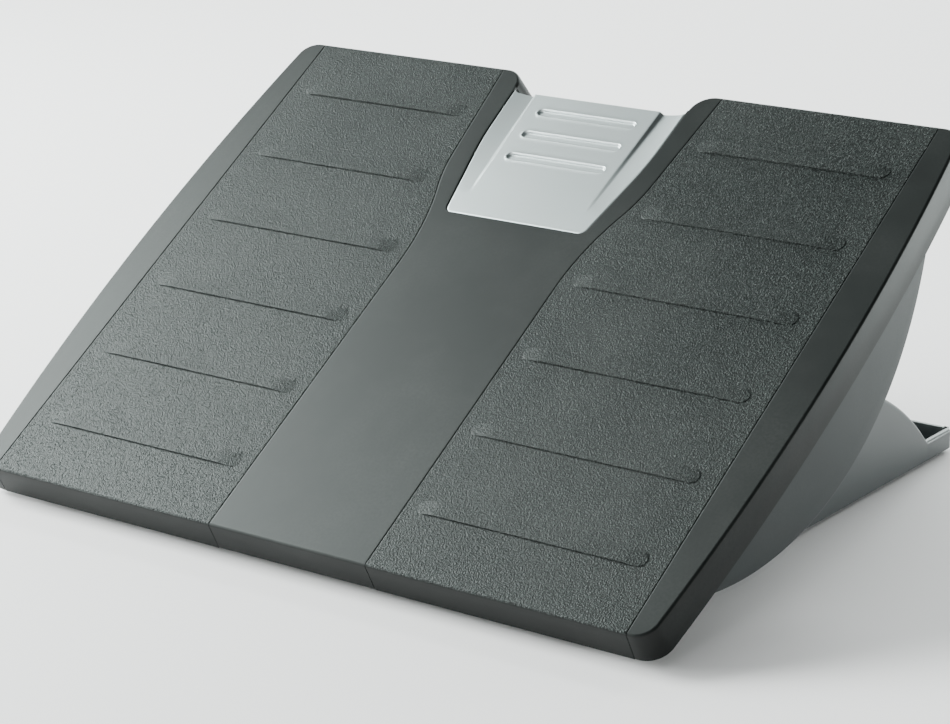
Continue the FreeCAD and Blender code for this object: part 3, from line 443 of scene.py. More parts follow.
@dataclass(frozen=True)
class Finish:
    """A moulded plastic, rubber or metal finish.

    Attributes:
        name: The material's name, which is also its slot in the record.
        colour: Base colour, linear.
        roughness: Middle roughness.
        grain: Bump distance of the fine grain in metres.
        pebble: Bump distance of the pebbled stipple, none at zero.
        metallic: Metal share.
        mottle: How far the colour drifts over the piece.
        specular: Specular level.
        dust: How much dust lightens the colour.
        grain_scale: Scale of the fine grain's noise.
    """

    name: str
    colour: tuple[float, float, float]
    roughness: float = 0.5
    grain: float = 0.00003
    pebble: float = 0.0
    metallic: float = 0.0
    mottle: float = 0.06
    specular: float = 0.5
    dust: float = 0.04
    grain_scale: float = 1600.0

    DRIFT_SCALE = 14.0
    ROUGHNESS_SPREAD = 0.1
    # Shares of the base colour in the pebbled stipple: painted shade in the hollows, painted glints on the flecks and
    # on the crowns.
    HOLLOW, WORN, RUBBED = 0.4, 3.8, 6.0

    def shade(self, share: float) -> tuple[float, ...]:
        """The base colour times a share, opaque."""
        return tuple(min(1.0, part * share) for part in self.colour) + (1.0,)

    def material(self, groups: dict[str, bpy.types.NodeTree]) -> bpy.types.Material:
        """Builds the material from the shared groups, with its own values on the shader.

        A pebbled finish takes its colour from the stipple: painted shade in the hollows, painted glints on the high
        flecks and painted glints on the crowns.
        """
        made = bpy.data.materials.new(self.name)
        made.use_nodes = True
        made.node_tree.nodes.clear()
        nodes = Nodes(made.node_tree)
        place = nodes.add("ShaderNodeTexCoord").outputs["Object"]
        grain = nodes.add("ShaderNodeGroup", {
            "Vector": place, "Scale": self.grain_scale, "Roughness": self.roughness, "Spread": self.ROUGHNESS_SPREAD,
        }, node_tree=groups["grain"])
        normal = nodes.add("ShaderNodeBump", {"Height": grain.outputs["Height"], "Distance": self.grain,
                                              "Strength": 1.0}).outputs[0]
        if self.pebble:
            stipple = nodes.add("ShaderNodeGroup", {"Vector": place}, node_tree=groups["pebble"]).outputs
            normal = nodes.add("ShaderNodeBump", {"Height": stipple["Height"], "Distance": self.pebble,
                                                  "Strength": 1.0, "Normal": normal}).outputs[0]
            # Painted shade in the stipple's low places and painted glints on its high places.
            colour = nodes.blend(stipple["GlintShade"], self.shade(self.HOLLOW), self.shade(self.WORN))
            # Painted glints on the crowns of the tall cells.
            colour = nodes.blend(nodes.remap(stipple["CrownGlint"], 0.1, 0.9), colour, self.shade(self.RUBBED))
        else:
            drift = nodes.noise(place, self.DRIFT_SCALE, 3.0)
            colour = nodes.blend(drift, self.shade(1 - self.mottle), self.shade(1 + self.mottle))
        wear = nodes.add("ShaderNodeGroup", {
            "Vector": place, "Color": colour, "Amount": self.dust, "Roughness": grain.outputs["Roughness"],
        }, node_tree=groups["wear"])
        shader = nodes.add("ShaderNodeBsdfPrincipled", {
            "Base Color": wear.outputs["Color"], "Roughness": wear.outputs["Roughness"],
            "Metallic": self.metallic, "Specular IOR Level": self.specular, "Normal": normal,
        })
        nodes.add("ShaderNodeOutputMaterial", {"Surface": shader.outputs[0]})
        made.diffuse_color = self.shade(1.0)
        return made


class Workshop:
    """Makes the materials, each once, and builds pieces with them."""

    FINISHES = (
        Finish("shell_plastic", (0.005, 0.0061, 0.0057), roughness=0.42, grain=0.000016, specular=0.18),
        Finish("tread_plastic", (0.0072, 0.0086, 0.0081), roughness=0.38, pebble=0.00034, specular=0.14),
        # The cheek and base plastics are lighter, bluer copies of the shell's dark plastic: the difference is painted
        # light from the rear right.
        Finish("cheek_plastic", (0.02, 0.0245, 0.0255), roughness=0.44, grain=0.000014, specular=0.26),
        Finish("base_plastic", (0.03, 0.037, 0.0385), roughness=0.34, grain=0.000012, specular=0.5),
        Finish("bracket_plastic", (0.012, 0.012, 0.013), roughness=0.5),
        Finish("block_plastic", (0.4, 0.39, 0.36), roughness=0.4, grain=0.00001),
        Finish("silver_insert", (0.5, 0.53, 0.535), roughness=0.32, metallic=0.85, grain=0.000008,
               grain_scale=2600.0, mottle=0.02, dust=0.01),
        Finish("steel", (0.5, 0.51, 0.52), roughness=0.3, metallic=1.0, grain=0.00001, mottle=0.04),
        Finish("rubber_foot", (0.008, 0.008, 0.009), roughness=0.78, grain=0.00005),
    )
    KEPT = {
        "height_bracket": "bracket_plastic", "pivot_block": "block_plastic", "pivot_pin": "steel",
        "pin_nut": "steel", "cheek_screws": "steel", "bracket_screws": "steel", "rail_screws": "steel",
    }
    MERGE_DISTANCE = 2e-6
    SLIVER_LENGTH = 1e-7

    def __init__(self) -> None:
        """Builds the shared groups and then each material."""
        groups = {"grain": grain_group(), "pebble": pebble_group(), "wear": wear_group()}
        self.materials = {finish.name: finish.material(groups) for finish in self.FINISHES}

    def piece(self, name: str, surface: Surface, finish: str, body: Body, stands_for: str,
              crease: float = 32.0) -> bpy.types.Object:
        """Puts a surface into a mesh, closes its seams, and ties it to its body.

        Args:
            name: The piece's name.
            surface: Points in millimetres, in the body's own frame, and faces.
            finish: Name of the material and of its slot.
            body: The body that the piece rides on.
            stands_for: The CAD node that it replaces.
            crease: Angle in degrees above which an edge stays sharp.

        Returns:
            The new object.
        """
        quads = surface.quads
        three = quads[:, 2] == quads[:, 3]
        sizes = np.where(three, 3, 4)
        used = np.ones(quads.shape, dtype=bool)
        used[three, 3] = False
        corners = quads[used]
        mesh = bpy.data.meshes.new(name)
        mesh.vertices.add(len(surface.points))
        place = in_deck if body is Body.PLATFORM else on_floor
        mesh.vertices.foreach_set("co", place(surface.points).astype(np.float32).ravel())
        mesh.loops.add(len(corners))
        mesh.loops.foreach_set("vertex_index", corners.astype(np.int32))
        mesh.polygons.add(len(quads))
        mesh.polygons.foreach_set("loop_start", (np.cumsum(sizes) - sizes).astype(np.int32))
        mesh.update(calc_edges=True)
        mesh.validate()
        work = bmesh.new()
        work.from_mesh(mesh)
        bmesh.ops.remove_doubles(work, verts=work.verts, dist=self.MERGE_DISTANCE)
        bmesh.ops.dissolve_degenerate(work, edges=work.edges, dist=self.SLIVER_LENGTH)
        work.to_mesh(mesh)
        work.free()
        mesh.polygons.foreach_set("use_smooth", np.ones(len(mesh.polygons), dtype=bool))
        mesh.set_sharp_from_angle(angle=math.radians(crease))
        mesh.materials.append(self.materials[finish])
        made = bpy.data.objects.new(name, mesh)
        bpy.context.scene.collection.objects.link(made)
        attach(made, body.value)
        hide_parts(stands_for)
        log.info("%s: %d faces", name, len(mesh.polygons))
        return made

    def pair(self, stem: str, node: str, right: Surface, finish: str, body: Body) -> list[bpy.types.Object]:
        """A right piece and its mirror image, each in place of its side's CAD node."""
        return [
            self.piece("%s_%s_form" % (stem, side), form, finish, body, "%s_%s" % (node, side))
            for side, form in (("right", right), ("left", right.mirrored()))
        ]

    def dress_kept_nodes(self) -> None:
        """Puts a finish into the material slot of each CAD node whose own shape is shown."""
        for name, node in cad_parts.items():
            for stem, finish in self.KEPT.items():
                if name.startswith(stem):
                    node.data.materials.clear()
                    node.data.materials.append(self.materials[finish])
                    log.info("%s: %s", name, finish)


# the platform: sizes are in millimetres and degrees, names in capitals are settings of the mesh

@dataclass
class PlatformPlan:
    """Plan of the platform: its outline, its seams and the outline of its insert."""

    length: float = 332.0
    half_width: float = 219.5
    side_radius: float = 1485.0
    side_middle: float = 173.0
    corner: float = 10.5
    edge_round: float = 1.35
    depth: float = 16.5
    front_flare: float = 1.5
    side_flare: float = 2.5
    wall: float = 5.0
    skirt_wall: float = 3.0
    notch_half: float = 55.6
    notch_corner: float = 12.3
    notch_floor: float = 316.0
    notch_inner: float = 3.5
    notch_flare: float = 3.0
    seam_outer: float = 198.1
    seam_inner: float = 49.1
    bend_start: float = 185.0
    out_radius: float = 160.0
    out_angle: float = 20.0
    back_radius: float = 100.0
    rear_angle: float = 5.5
    seam_gap: float = 0.32
    tread_thickness: float = 2.5
    insert_front: float = 223.8
    insert_half: float = 44.4
    insert_corner: float = 5.0
    insert_slope: float = 10.0
    insert_straight: float = 42.2
    insert_radius: float = 180.0
    insert_rear_angle: float = 2.0
    insert_depth: float = 5.0
    insert_short: float = 0.05

    @property
    def bow_x(self) -> float:
        """X of the centre of the bowed side's circle."""
        return self.half_width - self.side_radius

    def corner_x(self, height: float) -> float:
        """X of a corner round's centre, where the round touches the bow from inside."""
        return self.bow_x + math.sqrt((self.side_radius - self.corner) ** 2 - (height - self.side_middle) ** 2)

    def bow_at(self, y: np.ndarray, radius: float) -> np.ndarray:
        """How far out a circle about the bow's centre lies."""
        return self.bow_x + half_chord(radius, y - self.side_middle)

    def side_at(self, y: np.ndarray, inset: float) -> np.ndarray:
        """Half width at distances up the platform, drawn in by an inset.

        Between the corners it is the bow's circle. At a corner it is the corner's
        circle, which touches both the bow and the straight end.
        """
        low, high = self.corner, self.length - self.corner
        front, rear = (self.corner_x(at) + half_chord(self.corner - inset, y - at) for at in (low, high))
        return np.where(y < low, front, np.where(y > high, rear, self.bow_at(y, self.side_radius - inset)))

    def notch_at(self, y: np.ndarray, inset: float) -> np.ndarray:
        """How far out the notch's wall lies: straight, then a quarter round at its mouth."""
        radius = self.notch_corner - inset
        rise = np.clip(y - (self.length - inset - radius), 0.0, radius)
        return self.notch_half + inset + radius - half_chord(radius, rise)

    def rear_at(self, x: np.ndarray) -> np.ndarray:
        """Where the insert's rear edge lies: straight, then up the quarter round into the notch's wall."""
        run = np.abs(x) - (self.notch_half - self.notch_inner)
        run = np.clip(run, 0.0, self.notch_inner - self.insert_short)
        return self.notch_floor + self.notch_inner - half_chord(self.notch_inner, run)

    def seam_at(self, y: np.ndarray) -> np.ndarray:
        """How far out the inner seam lies: straight, an arc outwards, an arc back, then nearly straight."""
        out, rear = math.radians(self.out_angle), math.radians(self.rear_angle)
        turn = self.bend_start + self.out_radius * math.sin(out)
        leave = turn + self.back_radius * (math.sin(out) - math.sin(rear))
        turn_x = self.seam_inner + self.out_radius * (1 - math.cos(out))
        leave_x = turn_x + self.back_radius * (math.cos(rear) - math.cos(out))
        rise = np.clip(y - self.bend_start, 0.0, self.out_radius)
        first = self.seam_inner + self.out_radius - half_chord(self.out_radius, rise)
        part = np.arcsin(np.clip(math.sin(out) - (y - turn) / self.back_radius, -1.0, 1.0))
        second = turn_x + self.back_radius * (np.cos(part) - math.cos(out))
        third = leave_x + (y - leave) * math.tan(rear)
        return np.where(y <= turn, first, np.where(y <= leave, second, third))

    def insert_at(self, y: np.ndarray, growth: float) -> np.ndarray:
        """Half width of the insert's grown outline: a corner round, a slanted straight, an arc, a straight."""
        angle, rear = math.radians(self.insert_slope), math.radians(self.insert_rear_angle)
        slope = math.tan(angle)
        entering, leaving = (np.array([math.cos(turn), -math.sin(turn)]) for turn in (angle, rear))
        radius, corner = self.insert_radius + growth, self.insert_corner + growth
        knee = np.array([self.insert_half + self.insert_straight * slope, self.insert_front + self.insert_straight])
        centre = knee - self.insert_radius * entering
        start, leave = centre + radius * entering, centre + radius * leaving
        front = self.insert_front - growth
        reach = corner / math.tan(math.radians((90 + self.insert_slope) / 2))
        low_x, low_y = start[0] - (start[1] - front) * slope - reach, front + corner
        slanted = start[0] - (start[1] - y) * slope
        curved = centre[0] + half_chord(radius, y - centre[1])
        last = leave[0] + (y - leave[1]) * math.tan(rear)
        rounded = low_x + half_chord(corner, y - low_y)
        out = np.where(y < start[1], slanted, np.where(y < leave[1], curved, last))
        return np.where(y < low_y - corner * math.sin(angle), rounded, out)


@dataclass
class PlatformShell:
    """The platform's moulded shell: top with seats, rounded edge, skirt, underside and ribs."""

    shop: Workshop
    plan: PlatformPlan
    soft: float = 0.22
    rib_width: float = 2.0
    rib_depth: float = 8.0
    rib_taper: float = 0.25
    rib_bury: float = 0.4
    rib_rail: float = 160.0
    rib_inner: float = 66.0
    cross_first: float = 34.0
    cross_pitch: float = 58.0
    cross_count: int = 4
    skirt_foot: float = 0.6
    skirt_chamfer: float = 0.15
    lap_inset: float = 1.5
    lap_wall: float = 0.2

    LIP_SHARE = 0.3
    TOP_MIDDLES = (60.0, 120.0)
    TOP_TURN, UNDER_TURN = 6.0, 8.0
    FRONT_STEP, BACK_STEP, EAR_STEP, MOUTH_STEP = 6.0, 3.0, 0.9, 2.0
    PLATE_SHARES = (0.07, 0.5, 0.93, 1.0)
    MARGIN_SHARES = (0.03, 0.5, 0.97, 1.0)
    OVERLAP = 0.5
    CURL = 0.03

    def rows(self, inset: float, parts: list[np.ndarray], step: float,
             counts: tuple[int, int]) -> tuple[np.ndarray, int, int]:
        """Distances up the platform for a grid's rows.

        Args:
            inset: How far in from each end the grid begins.
            parts: Distances up to the insert's front, along its corner, and on to the notch.
            step: Largest step along the notch.
            counts: Rows in the front and in the rear corner.

        Returns:
            The distances, and the rows where the insert and the notch begin.
        """
        plan = self.plan
        front = edge_marks(inset, plan.corner, counts[0])
        mouth = spread([parts[2][-1], plan.length - plan.notch_corner], step)
        rear = edge_marks(plan.length - plan.notch_corner, plan.length - inset, counts[1], True)[1:]
        insert_row = len(front) + len(parts[0])
        notch_row = insert_row + len(parts[1]) + len(parts[2])
        return np.concatenate([front, *parts, mouth, rear]), insert_row, notch_row

    def top(self) -> Surface:
        """The top as one grid per side.

        Each row goes from the middle outwards through the insert's edge, the inner
        seam, the outer seam and the platform's edge. Columns lie in pairs at each
        of these, one on each level, so the grid also makes the upright walls, and
        each upper lip drops a little before its wall. The insert's seat runs on
        past the notch's floor, up the notch's inner corner.
        """
        plan, soft, small = self.plan, self.soft, self.soft * self.LIP_SHARE
        corner = plan.insert_front + self.TOP_TURN
        ear = spread([plan.notch_floor, plan.notch_floor + plan.notch_inner], self.EAR_STEP)[1:]
        y, insert_row, notch_row = self.rows(plan.edge_round, [
            spread([plan.corner, *self.TOP_MIDDLES, plan.bend_start, plan.insert_front], self.FRONT_STEP)[1:],
            edge_marks(plan.insert_front, corner, 10),
            np.concatenate([spread([corner, plan.notch_floor], self.BACK_STEP)[1:], ear]),
        ], self.MOUTH_STEP, (9, 14))
        number = np.arange(len(y))
        inside = (number >= insert_row) & (number < notch_row)
        insert = plan.insert_at(np.maximum(y, plan.insert_front), 0.0)
        first = np.where(number >= notch_row, plan.notch_at(y, plan.edge_round), insert)
        seam, outer = plan.seam_at(y), np.full(len(y), plan.seam_outer)
        side = plan.side_at(y, plan.edge_round)
        deep = np.where(inside, -plan.insert_depth, 0.0)
        seat = -plan.tread_thickness
        columns = [(first * share, deep) for share in (0.0, 0.5, 1.0)]
        columns += [(first, np.where(inside, -soft, 0.0)), (first + small, np.where(inside, -small, 0.0)),
                    (first + soft, 0.0)]
        columns += [(between(first + soft, seam - soft, share), 0.0) for share in self.PLATE_SHARES]
        columns += [(seam - small, -small), (seam, -soft), (seam, seat)]
        columns += [(between(seam, outer, share), seat) for share in (0.5, 1.0)]
        columns += [(outer, -soft), (outer + small, -small), (outer + soft, 0.0)]
        columns += [(between(outer + soft, side, share), 0.0) for share in self.MARGIN_SHARES]
        keep = np.ones((len(y) - 1, len(columns) - 1), dtype=bool)
        keep[notch_row - 1:, :5] = False
        keep[y[:-1] > plan.notch_floor - 0.01, :2] = False
        return sheet_of(grid_of(columns, y), keep).both_sides()

    def outline(self) -> np.ndarray:
        """The plan's outline, anticlockwise.

        Returns:
            A row for each point: x, y, the outward direction's x and y, where it
            lies (1 on the notch's wall, 2 on its floor), and its seat (1 where a
            tread laps the edge, 2 where the insert's seat opens).
        """
        plan = self.plan
        low, high = (np.array([plan.corner_x(at), at]) for at in (plan.corner, plan.length - plan.corner))
        bow = np.array([plan.bow_x, plan.side_middle])
        low_angle, high_angle = angle_of(bow, low), angle_of(bow, high)
        mouth = np.array([plan.notch_half + plan.notch_corner, plan.length - plan.notch_corner])
        turn = np.array([plan.notch_half - plan.notch_inner, plan.notch_floor + plan.notch_inner])
        near, far, outer = plan.seam_inner, float(plan.seam_at(np.array(plan.length))), plan.seam_outer
        beside = 0.3
        front_x = [0, 20, near - beside, near, near, outer, outer, outer + beside, low[0]]
        rear_x = [high[0], outer + beside, outer, outer, far, far, far - beside, mouth[0]]
        wall = joined(plan.notch_half, [mouth[1], turn[1]])
        chains = [
            (level_run(front_x, 0.0, -1.0), 0, [0, 0, 0, 0, 1, 1, 0, 0, 0]),
            (bend(low, plan.corner, -90, low_angle, 17), 0, 0),
            (bend(bow, plan.side_radius, low_angle, high_angle, 61), 0, 0),
            (bend(high, plan.corner, high_angle, 90, 17), 0, 0),
            (level_run(rear_x, plan.length, 1.0), 0, [0, 0, 0, 1, 1, 0, 0, 0]),
            (bend(mouth, plan.notch_corner, 90, 180, 15), 1, 0),
            ((wall, joined([-1.0, -1.0], 0.0)), 1, 0),
            (bend(turn, plan.notch_inner, 0, -90, 9, -1.0), 2, 2),
            (level_run([turn[0], 30.0, 0.0], plan.notch_floor, 1.0), 2, 2),
        ]
        right = np.concatenate([joined(*points.T, *ways.T, place, seat) for (points, ways), place, seat in chains])
        return np.concatenate([right, right[::-1] * np.array([-1, 1, -1, 1, 1, 1])])

    def rim(self) -> Surface:
        """The rounded top edge, the flared skirt and its inner face, carried round the outline.

        A profile point has a depth and an inset. Its place is the outline's point
        moved outwards by the flare at that depth less the inset, and down by the depth.
        """
        plan, foot, chamfer = self.plan, self.skirt_foot, self.skirt_chamfer
        x, y, way_x, way_y, place, seat = self.outline().T
        inset, drop = round_steps(plan.edge_round, 7)
        profile = np.concatenate([
            [(self.CURL, plan.edge_round + self.OVERLAP), (0.0, plan.edge_round)],
            joined(drop, inset)[1:],
            [(plan.depth * 0.5, 0.0), (plan.depth - foot, 0.0), (plan.depth - chamfer, chamfer), (plan.depth, foot),
             (plan.depth, plan.skirt_wall - foot), (plan.depth - foot, plan.skirt_wall), (plan.wall, plan.skirt_wall)],
        ])
        depth, pull = (np.repeat(part[:, None], len(x), axis=1) for part in profile.T)
        lap, outside = seat == 1, slice(0, -3)
        depth[:, lap] = np.maximum(depth[:, lap], plan.tread_thickness)
        pull[outside, lap] = np.minimum(pull[outside, lap] + self.lap_inset, plan.skirt_wall - self.lap_wall)
        depth[:, seat == 2] = np.maximum(depth[:, seat == 2], plan.insert_depth)
        fall = depth / plan.depth
        across = np.where(place > 0, plan.notch_flare, plan.side_flare)
        along = np.where(place == 2, 0.0, plan.front_flare)
        grid = joined(x + (across * fall - pull) * way_x, y + (along * fall - pull) * way_y, -depth)
        return sheet_of(grid[::-1], around=True)

    def underside(self) -> Surface:
        """The flat underside with the thicker floor under the insert, facing down."""
        plan = self.plan
        inset = plan.skirt_wall - plan.side_flare * plan.wall / plan.depth
        start, stop = plan.insert_front - plan.skirt_wall, plan.notch_floor - plan.skirt_wall
        corner = start + self.UNDER_TURN
        y, insert_row, notch_row = self.rows(inset, [
            spread([plan.corner, start], 2 * self.FRONT_STEP)[1:],
            edge_marks(start, corner, 8),
            spread([corner, stop], 2 * self.BACK_STEP)[1:],
        ], self.BACK_STEP, (7, 8))
        number = np.arange(len(y))
        inside = (number >= insert_row) & (number < notch_row)
        grown = plan.insert_at(np.maximum(y, start), plan.skirt_wall)
        first = np.where(number >= notch_row, plan.notch_at(y, plan.skirt_wall), grown)
        side = plan.side_at(y, inset)
        deep = np.where(inside, -plan.insert_depth - plan.skirt_wall, -plan.wall)
        columns = [(0.0, deep), (first, deep), (first, -plan.wall), ((first + side) / 2, -plan.wall),
                   (side, -plan.wall)]
        keep = np.ones((len(y) - 1, len(columns) - 1), dtype=bool)
        keep[notch_row - 1:, :2] = False
        return sheet_of(grid_of(columns, y), keep).turned().both_sides()

    def rib(self, start: tuple[float, float], end: tuple[float, float]) -> Surface:
        """A rib under the platform: a tapering section with a round lower edge, carried from start to end."""
        half = self.rib_width / 2
        nose = half - self.rib_taper
        root, tip = -self.plan.wall + self.rib_bury, -self.plan.wall - self.rib_depth
        lower = arc_points((0.0, tip + nose), nose, 0, -180, 7)
        section = np.concatenate([[[half, root]], lower, [[-half, root]]])
        ends = np.array([start, end])
        way = (ends[1] - ends[0]) / np.linalg.norm(ends[1] - ends[0])
        ring = section[:, :1] * np.array([way[1], -way[0]])
        return capped(np.stack([np.concatenate([at + ring, section[:, 1:]], axis=-1) for at in ends]))

    def build(self) -> None:
        """Joins the surfaces and stands for the shell's CAD node."""
        front = self.plan.skirt_wall - self.OVERLAP
        rear = self.plan.length - front
        rail, inner = self.rib_rail, self.rib_inner
        ribs = [self.rib((x, front), (x, rear)) for x in (-rail, -inner, inner, rail)]
        ribs += [self.rib((-rail, y), (rail, y)) for y in series(self.cross_first, self.cross_pitch, self.cross_count)]
        form = self.top().plus(self.rim(), self.underside(), *ribs)
        self.shop.piece("platform_shell_form", form, "shell_plastic", Body.PLATFORM, "platform_shell")


@dataclass
class TreadPanel:
    """A pebbled tread with six grips, wrapped over the platform's front and rear edges."""

    shop: Workshop
    plan: PlatformPlan
    lip: float = 1.5
    soft: float = 0.22
    play: float = 0.05
    grip_first: float = 40.2
    grip_pitch: float = 51.2
    grip_count: int = 6
    grip_width: float = 9.0
    grip_height: float = 0.9
    grip_back: float = 0.82
    grip_toe: float = 0.3
    toe_run: float = 30.0
    grip_crest: float = 1.4
    grip_front: float = 0.35
    grip_blend: float = 0.2
    grip_end: float = 11.0
    cut_depth: float = 0.3
    cut_width: float = 0.14
    cut_ahead: float = 0.1
    cut_start: float = 3.0
    cut_run: float = 4.0
    inner_margin: float = 7.4
    outer_margin: float = 11.0

    FACING_OUT = 0.99
    SKIRT_LEAN = 0.8
    FIRST_MARK = 20.0
    ROW_STEPS = ((1.3, 0.12), (8.0, 0.45), (math.inf, 3.0))
    GRIP_ROWS = (-5.2, -4.0, -2.6, 4.5)
    FOOT = 0.3
    END_LEADS, END_SPAN = (0.8, 1.4), 5.8

    @property
    def grips(self) -> list[float]:
        """Distance up the platform of each grip's middle."""
        return series(self.grip_first, self.grip_pitch, self.grip_count)

    def section(self) -> tuple[np.ndarray, np.ndarray]:
        """The tread's lengthwise section: up the front skirt, over the top, down the rear skirt.

        Returns:
            Points (y, w) of the outer face, and outward directions.
        """
        plan, radius = self.plan, self.plan.edge_round
        stop = plan.length - radius
        marks = [radius, self.FIRST_MARK] + [at + away for at in self.grips for away in self.GRIP_ROWS] + [stop]
        top = []
        for first, last in zip(marks, marks[1:]):
            step = next(step for limit, step in self.ROW_STEPS if last - first < limit)
            top.append(np.linspace(first, last, max(2, math.ceil((last - first) / step)), endpoint=False))
        flat = level_run(np.concatenate([*top, [stop]]), 0.0, 1.0)

        def skirted(depth: np.ndarray, inset: object = 0.0) -> np.ndarray:
            return joined(inset - plan.front_flare * depth / plan.depth, -depth)

        low = np.concatenate([[plan.depth, plan.depth - self.FOOT], np.linspace(plan.depth - 1.0, radius, 6)])
        angle = np.linspace(0, QUARTER, 7)[1:-1]
        front = skirted(low), joined(-np.ones(len(low)), 0.0)
        round_off = skirted(radius * (1 - np.sin(angle)), radius * (1 - np.cos(angle)))
        curve = round_off, joined(-np.cos(angle), np.sin(angle))
        turn, shift = np.array([-1.0, 1.0]), np.array([plan.length, 0.0])
        chains = [front, curve, flat]
        chains += [(points[::-1] * turn + shift, ways[::-1] * turn) for points, ways in (curve, front)]
        points, ways = zip(*chains)
        return np.concatenate(points), np.concatenate(ways)

    def grip_rise(self, x: np.ndarray, y: np.ndarray) -> np.ndarray:
        """Height of the grips over the top.

        Each lies in a round-ended outline. It is the least of a steep wall along
        that outline, a straight fall from the crest to its back, and a ramp at
        each end that stops a little above the tread, so the wall stays round the
        end as a low step. A fine cut runs along the wall's foot.
        """
        rise = np.zeros(x.shape)
        half = self.grip_width / 2
        crest_end = self.grip_front + self.grip_crest
        outer = self.plan.seam_outer - self.outer_margin
        for at in self.grips:
            inner = float(self.plan.seam_at(np.array(at + half))) + self.inner_margin
            near = y - (at - half)
            end = np.minimum(x - inner, outer - x)
            run = np.maximum(half - end, 0.0)
            wall = (half - np.sqrt(run ** 2 + (y - at) ** 2)) / self.grip_front * self.grip_height
            fall = np.clip((near - crest_end) / (self.grip_width - crest_end), 0.0, 1.0)
            back = self.grip_height - (self.grip_height - self.grip_back) * fall
            toe = self.grip_toe * ease(1.0 - (outer - x) / self.toe_run)
            ramp = toe + (self.grip_height - toe) * end / self.grip_end
            body = soft_least(back, ramp, self.grip_blend)
            cut = self.cut_depth * np.exp(-((near + self.cut_ahead) / self.cut_width) ** 2)
            cut = cut * ease((end - self.cut_start) / self.cut_run)
            rise = np.maximum(rise, np.maximum(np.minimum(wall, body), 0.0)) - cut
        return rise

    def from_seam(self, margin: float, lead: float) -> np.ndarray:
        """Distances of columns from a seam, closest together where the grips' round ends lie."""
        start = margin - lead
        stop = start + self.END_SPAN
        return np.concatenate([
            [margin / 2], np.linspace(start, stop, 20), np.linspace(stop, margin + self.grip_end + 1.0, 9)[1:],
        ])

    def surface(self) -> Surface:
        """The right tread: the section carried across between its two seams."""
        plan, soft, small = self.plan, self.soft, self.soft * PlatformShell.LIP_SHARE
        points, ways = self.section()
        inner = plan.seam_at(points[:, :1]) + plan.seam_gap
        outer = plan.seam_outer - plan.seam_gap
        edge = np.array([0.0, 0.0, small, soft, soft + 0.5])
        near, far = map(self.from_seam, (self.inner_margin, self.outer_margin), self.END_LEADS)
        middle = near[-1] + (outer - inner - near[-1] - far[-1]) * np.linspace(0.0, 1.0, 26)[1:-1]
        right = np.broadcast_to(outer - np.concatenate([far[::-1], edge[::-1]]), (len(points), len(far) + len(edge)))
        x = np.concatenate([inner + edge, inner + near, inner + middle, right], axis=1)
        sink = np.zeros(x.shape[1])
        sink[:3] = soft, soft, small
        sink[-3:] = small, soft, soft
        flat = ways[:, 1:] > self.FACING_OUT

        def moved(by: np.ndarray) -> np.ndarray:
            return joined(x, points[:, :1] + by * ways[:, :1], points[:, 1:] + by * ways[:, 1:])

        rise = np.where(flat, self.grip_rise(x, np.broadcast_to(points[:, :1], x.shape)), 0.0) - sink
        return plate_of(moved(rise), moved(np.where(flat, self.play - plan.tread_thickness, self.play - self.lip)))

    def smooth_skirts(self, mesh: bpy.types.Mesh) -> None:
        """Gives the faces over the front and rear skirts the shell's fine grain.

        A face belongs to a skirt if its direction leans more along the slope than
        out of the top, and it lies beyond the edge's round.
        """
        mesh.materials.append(self.shop.materials["shell_plastic"])
        count = len(mesh.polygons)
        centres, ways = np.empty(count * 3), np.empty(count * 3)
        mesh.polygons.foreach_get("center", centres)
        mesh.polygons.foreach_get("normal", ways)
        centres, ways = centres.reshape(-1, 3) / MM, ways.reshape(-1, 3)
        along = (centres[:, 1] + MIDDLE_Y) * math.cos(TILT) + (centres[:, 2] - DECK_Z) * math.sin(TILT)
        lean = np.abs(ways[:, 1] * math.cos(TILT) + ways[:, 2] * math.sin(TILT))
        ends = (along < self.plan.edge_round) | (along > self.plan.length - self.plan.edge_round)
        mesh.polygons.foreach_set("material_index", (ends & (lean > self.SKIRT_LEAN)).astype(np.int32))

    def build(self) -> None:
        """The right and the left tread."""
        for made in self.shop.pair("tread", "tread_panel", self.surface(), "tread_plastic", Body.PLATFORM):
            self.smooth_skirts(made.data)


